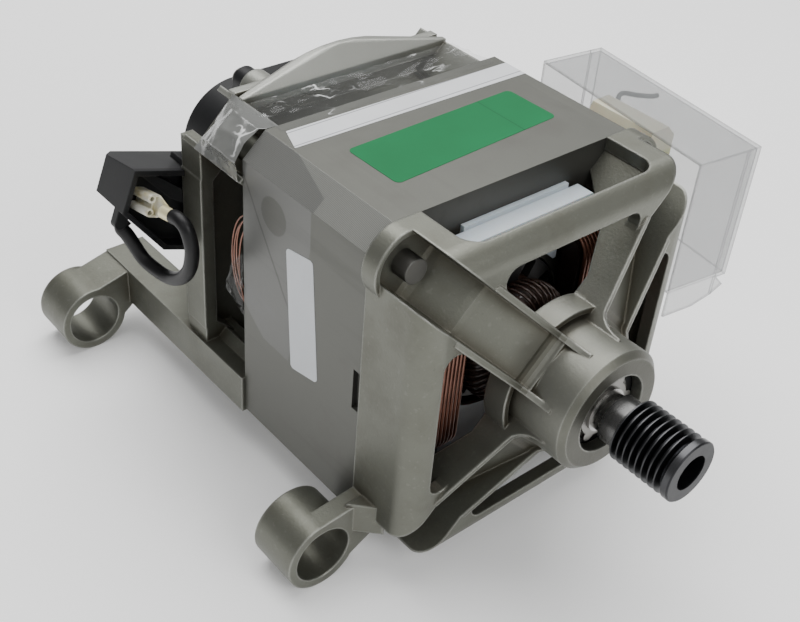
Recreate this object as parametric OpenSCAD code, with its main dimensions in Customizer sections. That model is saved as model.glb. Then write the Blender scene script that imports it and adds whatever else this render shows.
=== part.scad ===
// Brushed universal motor of a washing machine, in millimetres.
// The shaft lies on the Y axis, the belt pulley faces -Y and +Z is up.
// The origin is on the shaft axis at the mouth of the pulley's end bore.

/* [Stator] */
// Width of the lamination stack across its side flats
stack_w = 111.4; // [108:0.2:116]
// Height of the lamination stack across its top and bottom flats
stack_h = 115.4; // [112:0.2:120]
// Length of the lamination stack along the shaft
stack_len = 60.5; // [50:0.5:80]
// Width of the flat top between the chamfered corners
top_flat = 95; // [90:0.5:100]
// Height of the flat side between the chamfered corners
side_flat = 100; // [96:0.5:104]
// Corner radius of the winding window
window_corner = 10; // [8:0.5:12]
// Thickness of the yoke outside the coils
yoke = 15; // [14:0.5:16]
// Half height of a pole body inside its coil
pole_half = 20; // [16:0.5:21]
// Thickness of a pole shoe around the bore
shoe = 4; // [3:0.5:5]
// Half angle that a pole shoe covers, in degrees
shoe_angle = 54; // [45:1:60]
// Height of the notch in the stack's front edge
notch_h = 15; // [10:0.5:18]
// Length of that notch along the shaft
notch_len = 3.3; // [2:0.1:5]
// Depth of that notch
notch_deep = 2; // [1:0.25:3]

/* [Field coils] */
// Loops in the outer layer of a field coil
coil_loops = 9; // [6:1:9]
// Diameter of the field wire
wire_d = 1.3; // [1:0.1:1.4]
// Pitch of the loops along the coil axis
wire_pitch = 1.9; // [1.8:0.05:2]
// Thickness of the winding under its outer layer
coil_build = 8; // [6:0.5:8.5]
// Room between the pole end and the coil
coil_room = 2.2; // [2:0.1:4]
// Radius of the coil corners
coil_corner = 8; // [7:0.5:9]

/* [End insulators] */
// Thickness of the insulator plate
insulator_t = 1.6; // [1.2:0.1:1.8]
// Height of the bar over the shaft axis
bar_z = 46; // [44:0.5:47]
// Length of the bar
bar_len = 54; // [44:1:60]
// Depth of the bar off the stack
bar_depth = 8; // [5:0.5:12]
// Thickness of the bar
bar_t = 3; // [2:0.5:4]

/* [Armature] */
// Outer radius of the armature core
rotor_r = 26; // [24:0.5:27]
// Running gap between armature and poles
air_gap = 0.6; // [0.5:0.05:1]
// Slots round the armature
slot_count = 12; // [10:1:14]
// Width of an armature slot
slot_w = 4.6; // [3.5:0.1:5]
// Depth of an armature slot
slot_depth = 10; // [7:0.5:11]
// Radius of the end winding
winding_r = 21.5; // [20:0.5:22]
// Length of the end winding off the core
winding_len = 15; // [10:0.5:17]
// Loops shown round the front end winding
turn_count = 8; // [6:1:8]
// Diameter of one end turn
turn_d = 1.7; // [1.4:0.1:1.8]

/* [Shaft and bearings] */
// Diameter of the shaft in the front bearing
shaft_d = 15; // [14:0.5:16]
// Diameter of the shaft in the rear bearing
tail_d = 12; // [10:0.5:13]
// Outer diameter of the front bearing
front_bearing_d = 35; // [34:0.5:36]
// Width of the front bearing
front_bearing_w = 11; // [10:0.5:12]
// Outer diameter of the rear bearing
rear_bearing_d = 32; // [30:0.5:33]
// Width of the rear bearing
rear_bearing_w = 10; // [9:0.5:11]
// Balls in a bearing
ball_count = 8; // [7:1:9]

/* [Pulley] */
// Outer diameter of the pulley ribs
pulley_d = 20.6; // [19.6:0.1:22]
// Belt ribs on the pulley
rib_count = 8; // [5:1:8]
// Pitch of the belt ribs
rib_pitch = 2.34; // [2.2:0.02:2.4]
// Depth of a belt groove
rib_depth = 2.2; // [1.5:0.1:2.4]
// Width of the pulley's end flange
flange_w = 2.8; // [2:0.1:4]
// Diameter of the pulley's open end bore
pulley_bore = 11.8; // [10.5:0.1:12.4]
// Diameter of the pulley's seat on the shaft
pulley_seat = 13.2; // [12.8:0.1:14]
// Depth of the open bore ahead of the shaft
bore_depth = 9; // [6:0.5:12]
// Diameter of the pulley's neck
neck_d = 16; // [15:0.5:17]

/* [Front bracket] */
// Distance from the pulley face to the hub face
pulley_reach = 30.2; // [28:0.1:34]
// Distance from the hub face to the rim of the cup
hub_lead = 24; // [20:0.5:28]
// Depth of the cup from its rim to the stack
cup_depth = 26; // [24:0.5:32]
// Wall thickness of the cup
wall = 4.5; // [3.5:0.25:5]
// Radius of the cup's front edge
edge_r = 8; // [6:0.5:10]
// Half width of the front windows' frame
window_w = 48; // [46:0.5:49]
// Half height of the front windows' frame
window_h = 49; // [47:0.5:50]
// Radius of the window corners
window_r = 4.5; // [3:0.5:5]
// Half width of a spoke's channel
channel_half = 8.5; // [7.5:0.25:9]
// Thickness of a spoke's flange
flange_t = 2; // [1.5:0.1:2.5]
// Thickness of a spoke's floor
floor_t = 4; // [3:0.25:5]
// Radius of the hub
hub_r = 21; // [20.5:0.5:23]
// Radius of the collar behind the hub
collar_r = 25; // [24:0.5:26]
// Radius of the opening in the hub face
hub_open = 13.4; // [12.5:0.1:14]
// Thickness of the lip ahead of the front bearing
hub_lip = 4; // [3:0.25:5]
// Height of the collar's front edge over the stack
collar_h = 30; // [28:0.5:31]
// Height of a spoke's floor over the stack, beside the hub
floor_hub = 31; // [29:0.5:32]
// Height of a spoke's floor over the stack, at the top of its ramp
floor_ramp = 19; // [16:0.5:22]
// Length of the ramp from a bolt seat up to the floor
ramp_len = 13; // [10:0.5:15]
// Height of a spoke's flanges over the stack, beside the hub
crest_hub = 33; // [32:0.5:35]
// Height of the flange tips on the hub over the stack
crest_tip = 43; // [38:0.5:45]
// Distance from the shaft axis where the flanges run into the rim
crest_end = 55; // [52:0.5:58]
// Length of the slot in the top and bottom walls
slot_y = 20.5; // [16:0.5:21]
// Half width of that slot
slot_half = 38; // [30:0.5:40]
// Distance of a through bolt from the shaft axis, sideways and upwards
bolt_off = 46; // [45:0.25:46.5]
// Diameter of a through bolt
bolt_d = 5; // [4:0.5:6]
// Diameter of a through bolt's head
head_d = 8; // [7:0.5:9]
// Length of a through bolt's head
head_len = 6; // [5:0.5:9]
// Height of the bolt seats over the stack
seat_h = 3; // [2.5:0.25:4]
// Height of the round rims at the bolt seats over the stack
boss_h = 6; // [5:0.5:8]
// Radius of those rims
corner_boss = 12; // [11.5:0.25:12.5]

/* [Mounting ears] */
// Sideways distance of the ears from the shaft axis
ear_x = 72.3; // [70:0.1:80]
// Distance of the ears below the shaft axis
ear_z = 53; // [50:0.5:56]
// Radius of the ear bores
ear_bore = 10; // [8:0.1:11]
// Wall of an ear
ear_wall = 3; // [2.5:0.25:4]
// Length of an ear
ear_len = 18.5; // [14:0.5:24]
// Distance the front ear stands ahead of the stack
ear_lead = 7; // [5:0.5:9]
// Distance from the stack's rear to the rear ear
ear_reach = 77.5; // [72:0.5:84]

/* [Rear bracket] */
// Length of the open windows behind the stack
rear_gap = 24; // [22:0.5:28]
// Depth of the rear ring
ring_depth = 11.5; // [10:0.5:14]
// Half length of the rear ring's straight walls
wall_reach = 42.3; // [40:0.1:43]
// Half height of the rear ring behind its crown
ring_h = 50; // [48:0.5:52]
// Distance of the rear legs' floors from the shaft axis
leg_in = 57; // [56:0.25:58]
// Distance of the rear legs' fin tips from the shaft axis
leg_out = 70; // [67:0.5:72]
// Distance of those fins' ends ahead of the ring's back
fin_short = 2.9; // [2:0.1:5]
// Radius of the crown over the rear ring
crown_r = 64; // [62:0.5:66]
// Distance of the crown's straight edge ahead of the ring
crown_lead = 4.5; // [3:0.5:6]
// Half length of that straight edge
crown_half = 42.5; // [38:0.5:44]
// Distance of the crown's arc behind the ring's front
crown_back = 3.5; // [2:0.5:6]
// Radius of the bell over the commutator
bell_r = 33; // [32:0.5:34]
// Radius of the rear bearing boss
boss_r = 20; // [19.5:0.5:22]
// Width of the arm to the rear ear
arm_w = 16; // [12:0.5:18]
// Height of the arm's top below the shaft axis
arm_top = 36; // [34:0.5:40]
// Depth of the arm
arm_h = 15; // [12:0.5:17]
// Distance the arm stands out from the stack's side
arm_out = 1.3; // [0.5:0.1:3]

/* [Brush gear] */
// Half width of the black housing
housing_w = 43.5; // [42.5:0.5:45]
// Half height of the black housing
housing_h = 45.5; // [44:0.5:46.5]
// Corner radius of the black housing
housing_corner = 20.5; // [19:0.5:24]
// Length of the black housing's straight sides
housing_len = 19; // [17:0.5:22]
// Radius of the black housing's rear face
dome_r = 36.5; // [36:0.5:38]
// Wall of the black housing
housing_wall = 2.5; // [2:0.25:2.75]
// Sideways distance of the housing screws from the shaft axis
screw_x = 27.2; // [24:0.2:28]
// Distance of the housing screws above and below the shaft axis
screw_z = 51.3; // [50.5:0.1:52]
// Diameter of a housing screw
screw_d = 3.4; // [3:0.1:4]
// Radius of the bosses on the rear ring round the housing screws
screw_boss_r = 6; // [5:0.25:6.5]
// Radius of the housing's lugs round the housing screws
lug_r = 4.7; // [4:0.1:5.5]
// Length of the housing's lugs
lug_len = 6; // [4:0.5:8]
// Tilt of the brush axis, in degrees
brush_tilt = 21; // [10:1:25]
// Radius of the commutator
commutator_r = 17; // [15:0.5:19]
// Length of the commutator
commutator_len = 22; // [20:0.5:23]
// Bars of the commutator
bar_count = 24; // [20:2:28]
// Distance from the commutator's front to the middle of its brushes
brush_seat = 9; // [8:0.5:12]
// Thickness of a carbon brush
brush_t = 5; // [4:0.25:6]
// Width of a carbon brush along the shaft
brush_w = 10.5; // [9:0.5:11]
// Length of a carbon brush
brush_len = 32; // [26:0.5:34]
// Wall of a brass brush tube
tube_t = 0.8; // [0.6:0.1:1]
// Outer end of a brush holder from the shaft axis
holder_end = 81.5; // [78:0.5:86]
// Height of a brush holder over the brush axis, at its outer end
holder_top = 6.3; // [6:0.1:8]
// Depth of a brush holder under the brush axis, at its outer end
holder_foot = 9; // [8:0.1:10]
// Height of a brush holder over the brush axis, at its root
root_top = 9.4; // [8.5:0.1:10]
// Depth of a brush holder's gusset under the brush axis
gusset_foot = 21.8; // [18:0.2:22]
// Distance of the gusset's lower corner from the shaft axis
gusset_end = 61.7; // [58:0.1:64]
// Distance a brush holder reaches ahead of the rear ring's back
holder_lead = 2; // [1:0.5:4]
// Slope of a brush holder's top towards the rear, in degrees
holder_taper = 8; // [0:1:8]
// Wall of a brush holder
holder_wall = 1.8; // [1.5:0.1:2.2]
// Bevel of a brush holder's rear edges
holder_bevel = 3.5; // [2:0.5:4]
// Length of the rounded tab under a brush holder's outer end
tab_drop = 7; // [4:0.5:9]
// Width of that tab
tab_w = 4.4; // [3:0.2:5]
// Length of a spade terminal
spade_len = 21; // [18:0.5:22]
// Width of a spade terminal
spade_w = 7.4; // [7.2:0.1:8]
// Tilt of a spade terminal in its holder, in degrees
spade_lean = 10; // [0:1:12]

/* [Terminals] */
// Length of the terminal block along the shaft
block_len = 27; // [22:0.5:32]
// Width of the terminal block off the stack
block_w = 24; // [20:0.5:26]
// Height of the terminal block
block_h = 18; // [14:0.5:20]
// Distance from the front of the stack to the terminal block
block_y = 4; // [2:0.5:12]
// Top of the terminal block over the shaft axis
block_top = 48.4; // [44:0.2:50]
// Width of the ledge between the stack and the terminal block's raised part
block_ledge = 8; // [5:0.5:9]
// Width of the slopes beside the terminal block's top
block_slope = 4; // [2:0.5:5]
// Tabs in the terminal block
tab_count = 6; // [4:1:7]
// Length of the clear cover
cover_len = 81; // [76:0.5:86]
// Width of the clear cover
cover_w = 27; // [26:0.5:30]
// Height of the clear cover
cover_h = 51; // [46:0.5:54]
// Length of the tongue under the clear cover's front panel
tongue = 9.7; // [6:0.1:12]
// Sheet thickness of the clear cover
cover_t = 0.8; // [0.6:0.1:1.2]
// Turn of the clear cover against the shaft, in degrees
cover_yaw = -7.4; // [-9:0.1:-6]
// Distance of the clear cover's middle from the shaft axis
cover_x = 82; // [81:0.5:86]
// Distance of the clear cover's middle behind the front of the stack
cover_mid = 19; // [14:0.5:24]

/* [Clearances] */
// Clearance of a running or sliding fit
run_gap = 0.05; // [0.02:0.01:0.09]
// Gap between parts that move past each other
move_gap = 0.4; // [0.3:0.05:0.6]
// Gap of a seated piece
seat_gap = 0.1; // [0.05:0.05:0.2]

/* [Hidden] */
$fn = 64;
eps = 0.01;
over = 2;

// Stations along the shaft
hub_front = pulley_reach;
rim_front = hub_front + hub_lead;
stack_front = rim_front + cup_depth;
stack_rear = stack_front + stack_len;
ring_front = stack_rear + rear_gap;
ring_rear = ring_front + ring_depth;
housing_rear = ring_rear + housing_len;
bearing_front = hub_front + hub_lip;
commutator_front = ring_rear + over;
commutator_rear = commutator_front + commutator_len;
brush_y = commutator_front + brush_seat;
bell_floor = commutator_rear + over;
bell_rear = bell_floor + wall;
tail_front = bell_floor + over;
tail_rear = tail_front + rear_bearing_w;
boss_rear = tail_rear + over;
magnet_len = 8;
magnet_rear = boss_rear + move_gap + magnet_len;
cap_rear = magnet_rear + over + over;

// Stack and bracket outlines
half_w = stack_w / 2;
half_h = stack_h / 2;
lip = 0.3;
cup_w = half_w + lip;
cup_h = half_h + lip;
cup_corner = 9;
bore_r = rotor_r + air_gap;
spoke_half = channel_half + flange_t;
diagonals = [45, 135, 225, 315];
bolt_r = bolt_off * sqrt(2);
rim_t = 1.7;
seat_r = front_bearing_d / 2;
tail_seat_r = rear_bearing_d / 2;
bolt_thread = 16;

// Coil frame: the coil axis lies along X, its loops run in the YZ plane
coil_mid = stack_front + stack_len / 2;
coil_in_y = stack_len / 2 + coil_room;
coil_in_z = pole_half + coil_room;
coil_gap = 0.3;
coil_x_out = half_w - yoke - coil_gap;
coil_span = coil_loops * wire_pitch;
coil_x_in = coil_x_out - coil_span;
wire_bed = 0.35;
loop_rings = 24;
wire_sides = 6;

// Unit vector of a vector
function unit(v) = v / norm(v);
// Points of the arc that rounds the corner p1 of an outline
function corner_arc(p0, p1, p2, r, n) =
    let(
        a = unit(p0 - p1),
        b = unit(p2 - p1),
        half = acos(a * b) / 2,
        c = p1 + unit(a + b) * r / sin(half),
        s = p1 + a * r / tan(half) - c,
        turn = sign(cross(a, b)) * (2 * half - 180)
    )
    [for (i = [0:n]) let(t = turn * i / n) c + [cos(t) * s.x - sin(t) * s.y, sin(t) * s.x + cos(t) * s.y]];
// An outline with every corner rounded
function rounded(pts, r, n = 6) =
    let(m = len(pts))
    [for (i = [0:m - 1]) each corner_arc(pts[(i + m - 1) % m], pts[i], pts[(i + 1) % m], r, n)];

// Cylinder along the shaft
module ycyl(r, y0, y1) {
    translate([0, y0, 0])
        rotate([-90, 0, 0])
            cylinder(r = r, h = y1 - y0);
}
// Outline in X and Z, extruded along the shaft
module yprism(y0, y1) {
    translate([0, y1, 0])
        rotate([90, 0, 0])
            linear_extrude(y1 - y0)
                children();
}
// Outline in radius and Y, turned round the shaft
module yrevolve() {
    rotate([-90, 0, 0])
        rotate_extrude()
            children();
}
// Ring round the shaft
module yring(r_out, r_in, y0, y1) {
    difference() {
        ycyl(r_out, y0, y1);
        ycyl(r_in, y0 - over, y1 + over);
    }
}
// Rectangle with round corners
module rrect(w, h, r) {
    square([w - 2 * r, h], center = true);
    square([w, h - 2 * r], center = true);
    for (x = [-1, 1], y = [-1, 1])
        translate([x * (w / 2 - r), y * (h / 2 - r)])
            circle(r);
}
// Outline in X or Z against Y whose front corners are round
module front_round(half, y0, y1, r) {
    translate([-half, y0 + r])
        square([2 * half, y1 - y0 - r]);
    translate([-half + r, y0])
        square([2 * (half - r), y1 - y0]);
    for (s = [-1, 1])
        translate([s * (half - r), y0 + r])
            circle(r);
}
// Block with round front edges and round corners
module cup_block(w, h, c, r, y0, y1) {
    intersection() {
        yprism(y0, y1)
            rrect(2 * w, 2 * h, c);
        translate([0, 0, -h - over])
            linear_extrude(2 * (h + over))
                front_round(w, y0, y1, r);
        rotate([0, -90, 0])
            translate([0, 0, -w - over])
                linear_extrude(2 * (w + over))
                    front_round(h, y0, y1, r);
    }
}
// Repeats a piece on the four diagonals, drawn along +X
module on_diagonals() {
    for (a = diagonals)
        rotate([0, a, 0])
            children();
}
// Places a piece on a brush axis, drawn along +X
module on_brush(side) {
    rotate([0, side < 0 ? 180 + brush_tilt : brush_tilt, 0])
        children();
}

// Tube of given sides swept along a list of points
function frame_side(t) = abs(t.x) < 0.9 ? unit(cross(t, [1, 0, 0])) : unit(cross(t, [0, 0, 1]));
function tangent(p, i) = unit(p[min(i + 1, len(p) - 1)] - p[max(i - 1, 0)]);
module tube(p, d, sides) {
    n = len(p);
    rings = [for (i = [0:n - 1])
        let(t = tangent(p, i), u = frame_side(t), v = cross(t, u))
        for (k = [0:sides - 1]) p[i] + d / 2 * (cos(360 * k / sides) * u + sin(360 * k / sides) * v)];
    skin = [for (i = [0:n - 2], k = [0:sides - 1])
        let(a = i * sides + k, b = i * sides + (k + 1) % sides)
        each [[a, a + sides, b], [b, a + sides, b + sides]]];
    first = [for (k = [1:sides - 2]) [0, k, k + 1]];
    last = [for (k = [1:sides - 2]) [(n - 1) * sides, (n - 1) * sides + k + 1, (n - 1) * sides + k]];
    polyhedron(points = rings, faces = concat(skin, first, last));
}
// Least distance between points a full loop or more apart
function loop_gap(p, step, d) =
    min([for (i = [0:len(p) - 1 - step], j = [i + step - 2:min(i + step + 2, len(p) - 1)])
        norm(p[i] - p[j])]) - d;

// Point k of the 24 on one loop: five round each corner and one in the middle of each side
function loop_point(a, b, r, k) =
    let(
        corner = floor(k / 6),
        step = k % 6,
        turn = 90 * corner + 22.5 * step,
        sx = corner == 0 || corner == 3 ? 1 : -1,
        sy = corner < 2 ? 1 : -1
    )
    step < 5 ? [sx * (a - r), sy * (b - r)] + r * [cos(turn), sin(turn)] :
    [corner == 1 ? -a : corner == 3 ? a : 0, corner == 0 ? b : corner == 2 ? -b : 0];

// Outer layer of a field coil as one unbroken wire
wire_off = coil_build + wire_d / 2 + wire_bed;
coil_path = [for (i = [0:coil_loops * loop_rings])
    let(q = loop_point(coil_in_y + wire_off, coil_in_z + wire_off, coil_corner + wire_d / 2 + wire_bed,
        (i + loop_rings - 1) % loop_rings))
    [coil_x_in + wire_d / 2 + (coil_span - wire_d) * i / (coil_loops * loop_rings), coil_mid + q.x, q.y]];
echo(field_wire_gap = loop_gap(coil_path, loop_rings, wire_d));

module field_coil(side) {
    color("sienna")
        scale_x(side) {
            translate([coil_x_in, coil_mid, 0])
                rotate([90, 0, 90])
                    linear_extrude(coil_span)
                        difference() {
                            rrect(2 * (coil_in_y + coil_build), 2 * (coil_in_z + coil_build), coil_corner);
                            rrect(2 * coil_in_y, 2 * coil_in_z, over);
                        }
            tube(coil_path, wire_d, wire_sides);
        }
}
// Mirrors to the left side
module scale_x(side) {
    if (side < 0)
        mirror([1, 0, 0])
            children();
    else
        children();
}
module field_coil_left() field_coil(-1);
module field_coil_right() field_coil(1);

// Outline of one lamination with its two poles
module lamination() {
    shoe_r = bore_r + shoe;
    shoe_reach = 2 * shoe_r;
    difference() {
        polygon([[top_flat / 2, half_h], [half_w, side_flat / 2], [half_w, -side_flat / 2],
            [top_flat / 2, -half_h], [-top_flat / 2, -half_h], [-half_w, -side_flat / 2],
            [-half_w, side_flat / 2], [-top_flat / 2, half_h]]);
        difference() {
            rrect(stack_w - 2 * yoke, stack_h - 2 * yoke, window_corner);
            square([stack_w, 2 * pole_half], center = true);
            intersection() {
                circle(shoe_r);
                for (s = [0, 180])
                    rotate(s)
                        polygon([[0, 0], shoe_reach * [cos(shoe_angle), sin(shoe_angle)],
                            shoe_reach * [1, 0] / cos(shoe_angle / 2),
                            shoe_reach * [cos(shoe_angle), -sin(shoe_angle)]]);
            }
        }
        circle(bore_r);
        for (x = [-1, 1], z = [-1, 1])
            translate([x * bolt_off, z * bolt_off])
                circle(bolt_d / 2 + seat_gap);
    }
}
module stator_core() {
    color("gray")
        difference() {
            yprism(stack_front, stack_rear)
                lamination();
            translate([-half_w, stack_front, 0])
                cube([2 * notch_deep, 2 * notch_len, notch_h], center = true);
        }
}

// Plastic end pieces over and under the bore: a plate on the stack and a bar that guards the coil ends
module insulator_shape() {
    half = coil_x_in - insulator_t;
    for (m = [0, 1])
        mirror([0, 0, m]) {
            yprism(0, insulator_t)
                difference() {
                    translate([-half, pole_half])
                        square([2 * half, bar_z + insulator_t - pole_half]);
                    circle(bore_r + shoe / 2);
                }
            translate([0, 0, bar_z - bar_t / 2])
                yprism(insulator_t - eps, bar_depth)
                    rrect(bar_len, bar_t, bar_t / 2 - eps);
        }
}
module front_insulator() {
    color("white")
        translate([0, stack_front, 0])
            mirror([0, 1, 0])
                insulator_shape();
}
module rear_insulator() {
    color("white")
        translate([0, stack_rear, 0])
            insulator_shape();
}

// One front window, drawn towards +X
module window_outline(reach) {
    lean = spoke_half * sqrt(2);
    inner = collar_r - over;
    polygon(rounded([[reach, lean - reach], [reach, reach - lean], [inner, inner - lean],
        [inner, lean - inner]], window_r));
}
// Place in Y of a height over the stack's front
function up(h) = stack_front - h;
// Smooth step from 0 to 1
function ease(t) = (1 - cos(180 * t)) / 2;
ramp_out = bolt_r - head_d / 2 - over;
ramp_in = ramp_out - ramp_len;
ramp_steps = 8;
root_r = 4;
fin_in = hub_r - over;
arc_steps = 5;
spoke_reach = bolt_r + corner_boss;
// Underside of a spoke in radius and Y, from the bolt seat to the hub
spoke_back = [[spoke_reach, stack_front], [ramp_out - over, stack_front],
    [ramp_in - over, up(floor_ramp) + floor_t], [fin_in - over, up(floor_hub) + floor_t]];
// Floor of a spoke: a fillet off the hub, a long slope, then a ramp down to the bolt seat
module spoke_floor() {
    polygon(concat(
        [[fin_in - over, up(floor_hub + root_r)]],
        [for (i = [0:arc_steps]) let(a = 90 * i / arc_steps)
            [hub_r + root_r * (1 - cos(a)), up(floor_hub + root_r * (1 - sin(a)))]],
        [for (i = [0:ramp_steps]) let(t = i / ramp_steps)
            [ramp_in + ramp_len * t, up(floor_ramp + (seat_h - floor_ramp) * ease(t))]],
        [[spoke_reach, up(seat_h)]], spoke_back));
}
// Flange of a spoke: a tapering fin on the hub, then a straight crest to the rim
module spoke_flange() {
    fin_len = hub_r + root_r - fin_in;
    polygon(concat(
        [[fin_in - over, up(crest_tip)]],
        [for (i = [0:arc_steps]) let(a = 90 * i / arc_steps)
            [fin_in + fin_len * (1 - cos(a)), up(crest_tip + (crest_hub - crest_tip) * sin(a))]],
        [[crest_end, rim_front], [spoke_reach, rim_front]], spoke_back));
}
module at_bolts() {
    for (x = [-1, 1], z = [-1, 1])
        translate([x * bolt_off, 0, z * bolt_off])
            children();
}
// Outer solid of the cup with its round rims at the bolts
module cup_solid() {
    cup_block(cup_w, cup_h, cup_corner, edge_r, rim_front, stack_front);
    at_bolts()
        ycyl(corner_boss, up(boss_h), stack_front);
}
module spokes() {
    intersection() {
        union() {
            cup_solid();
            ycyl(crest_end, hub_front, stack_front);
        }
        on_diagonals() {
            linear_extrude(2 * spoke_half, center = true)
                spoke_floor();
            for (s = [-1, 1])
                translate([0, 0, s * (channel_half + flange_t / 2)])
                    linear_extrude(flange_t, center = true)
                        spoke_flange();
        }
    }
}
// Cup with its windows, its four open corners and the slots in its top and bottom
module bracket_cup() {
    difference() {
        cup_solid();
        cup_block(cup_w - wall, cup_h - wall, cup_corner - over, edge_r - wall / 2,
            rim_front + wall, stack_front + over);
        yprism(rim_front - over, rim_front + wall + over) {
            for (a = [0, 180])
                rotate(a)
                    window_outline(window_w);
            for (a = [90, 270])
                rotate(a)
                    window_outline(window_h);
        }
        on_diagonals()
            translate([bolt_r / 2, rim_front - over, -channel_half])
                cube([bolt_r, cup_depth - boss_h + over, 2 * channel_half]);
        at_bolts()
            ycyl(corner_boss - rim_t, up(boss_h) - eps, up(seat_h));
        for (z = [-1, 1])
            translate([0, 0, z * cup_h])
                linear_extrude(3 * wall, center = true)
                    polygon(rounded([[-slot_half, up(slot_y)], [slot_half, up(slot_y)],
                        [slot_half, stack_front + slot_y], [-slot_half, stack_front + slot_y]], edge_r - over));
    }
}
// Hub turned with the collar behind it and the groove between them
module hub() {
    groove = 3;
    yrevolve()
        polygon([[0, hub_front], [hub_r - over, hub_front], [hub_r, hub_front + over],
            [hub_r, up(collar_h) + groove], [collar_r - flange_t, up(collar_h) + groove],
            [collar_r - flange_t, up(collar_h)], [collar_r, up(collar_h)], [collar_r, rim_front + wall],
            [0, rim_front + wall]]);
}
// Arm and barrel of an ear, seen along the shaft
module ear_arm(top, foot) {
    polygon([[-half_w + wall, -top], [-ear_x, ear_bore + ear_wall - ear_z],
        [-ear_x, -ear_z - ear_bore - ear_wall], [-half_w + wall, -foot]]);
    translate([-ear_x, -ear_z])
        circle(ear_bore + ear_wall);
}
module ear_hole(y0) {
    translate([-ear_x, 0, -ear_z])
        ycyl(ear_bore, y0 - over, y0 + ear_len + over);
}
ear_front = stack_front - ear_lead;
rear_ear = stack_rear + ear_reach;
arm_root = arm_top + over;
arm_foot = ear_z + seat_h / 3;
module front_bracket() {
    color("darkgray")
        difference() {
            union() {
                bracket_cup();
                spokes();
                hub();
                yprism(ear_front, stack_front - eps)
                    ear_arm(arm_root, arm_foot);
                translate([-ear_x, 0, -ear_z])
                    ycyl(ear_bore + ear_wall, ear_front, ear_front + ear_len);
                translate([0, 0, -arm_foot + wall])
                    linear_extrude(arm_foot - arm_root - wall)
                        polygon([[-cup_w + over, ear_front - ear_lead], [-cup_w - ear_lead, ear_front + over],
                            [-cup_w + over, ear_front + over]]);
            }
            ycyl(hub_open, hub_front - over, bearing_front + over);
            ycyl(seat_r + seat_gap / 2, bearing_front, stack_front);
            ear_hole(ear_front);
            at_bolts()
                ycyl(bolt_d / 2 + seat_gap, up(2 * seat_h), stack_front + over);
        }
}

// Rear bracket
fin_rear = ring_rear - fin_short;
bell_in = bell_r - wall;
module ring_outline(w, h, cut) {
    intersection() {
        square([2 * w, 2 * h], center = true);
        rotate(45)
            square(2 * cut, center = true);
    }
}
module rear_legs() {
    on_diagonals() {
        translate([leg_in, stack_rear, -spoke_half])
            cube([floor_t, ring_rear - stack_rear, 2 * spoke_half]);
        for (s = [-1, 1])
            translate([leg_in, stack_rear, s * (channel_half + flange_t / 2) - flange_t / 2])
                cube([leg_out - leg_in, fin_rear - stack_rear, flange_t]);
        translate([bolt_r, 0, 0])
            ycyl(bolt_d / 2 + wall / 2, stack_rear, stack_rear + bolt_thread);
        translate([leg_in + floor_t - eps, stack_rear, -wall / 2])
            cube([bolt_r - leg_in - floor_t, bolt_thread, wall]);
    }
}
module crown() {
    rail_z = half_h - wall;
    for (m = [0, 1])
        mirror([0, 0, m])
            difference() {
                hull() {
                    translate([-crown_half, ring_front - crown_lead, rail_z])
                        cube([2 * crown_half, over, wall]);
                    intersection() {
                        ycyl(crown_r, ring_front + crown_back - over, ring_front + crown_back);
                        translate([-cup_w, ring_front, rail_z])
                            cube([2 * cup_w, 2 * ring_depth, 4 * wall]);
                    }
                }
                translate([-cup_w, 0, rail_z - 2 * wall])
                    cube([2 * cup_w, ring_rear - wall, 2 * wall + eps]);
            }
}
module rear_arm() {
    translate([-half_w - arm_out, stack_rear, -arm_top - arm_h])
        cube([arm_w, rear_ear + ear_len - stack_rear - over, arm_h]);
    yprism(rear_ear, rear_ear + ear_len - over)
        polygon([[-cup_w + over, -arm_top], [-ear_x + ear_wall, ear_bore + ear_wall - ear_z],
            [-ear_x, ear_bore + ear_wall - ear_z], [-ear_x, -ear_z - ear_bore - ear_wall],
            [-cup_w + over, -arm_top - arm_h]]);
    translate([-ear_x, 0, -ear_z])
        ycyl(ear_bore + ear_wall, rear_ear, rear_ear + ear_len);
}
bell_window = 16;
module bell() {
    difference() {
        union() {
            ycyl(bell_r, ring_rear - wall, bell_rear);
            ycyl(boss_r, bell_floor, boss_rear);
        }
        ycyl(bell_in, ring_rear - 2 * wall, bell_floor);
        ycyl(tail_seat_r + seat_gap / 2, tail_front, boss_rear + over);
        ycyl(tail_seat_r - wall, bell_floor - over, boss_rear);
        for (a = [0, 90, 180, 270])
            rotate([0, brush_tilt + a, 0])
                translate([0, ring_rear + over, -bell_window / 2])
                    cube([2 * bell_r, bell_floor - ring_rear - 2 * over, bell_window]);
    }
}
module at_screws() {
    for (a = [0, 180])
        rotate([0, a, 0])
            translate([-screw_x, 0, screw_z])
                children();
}
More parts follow.
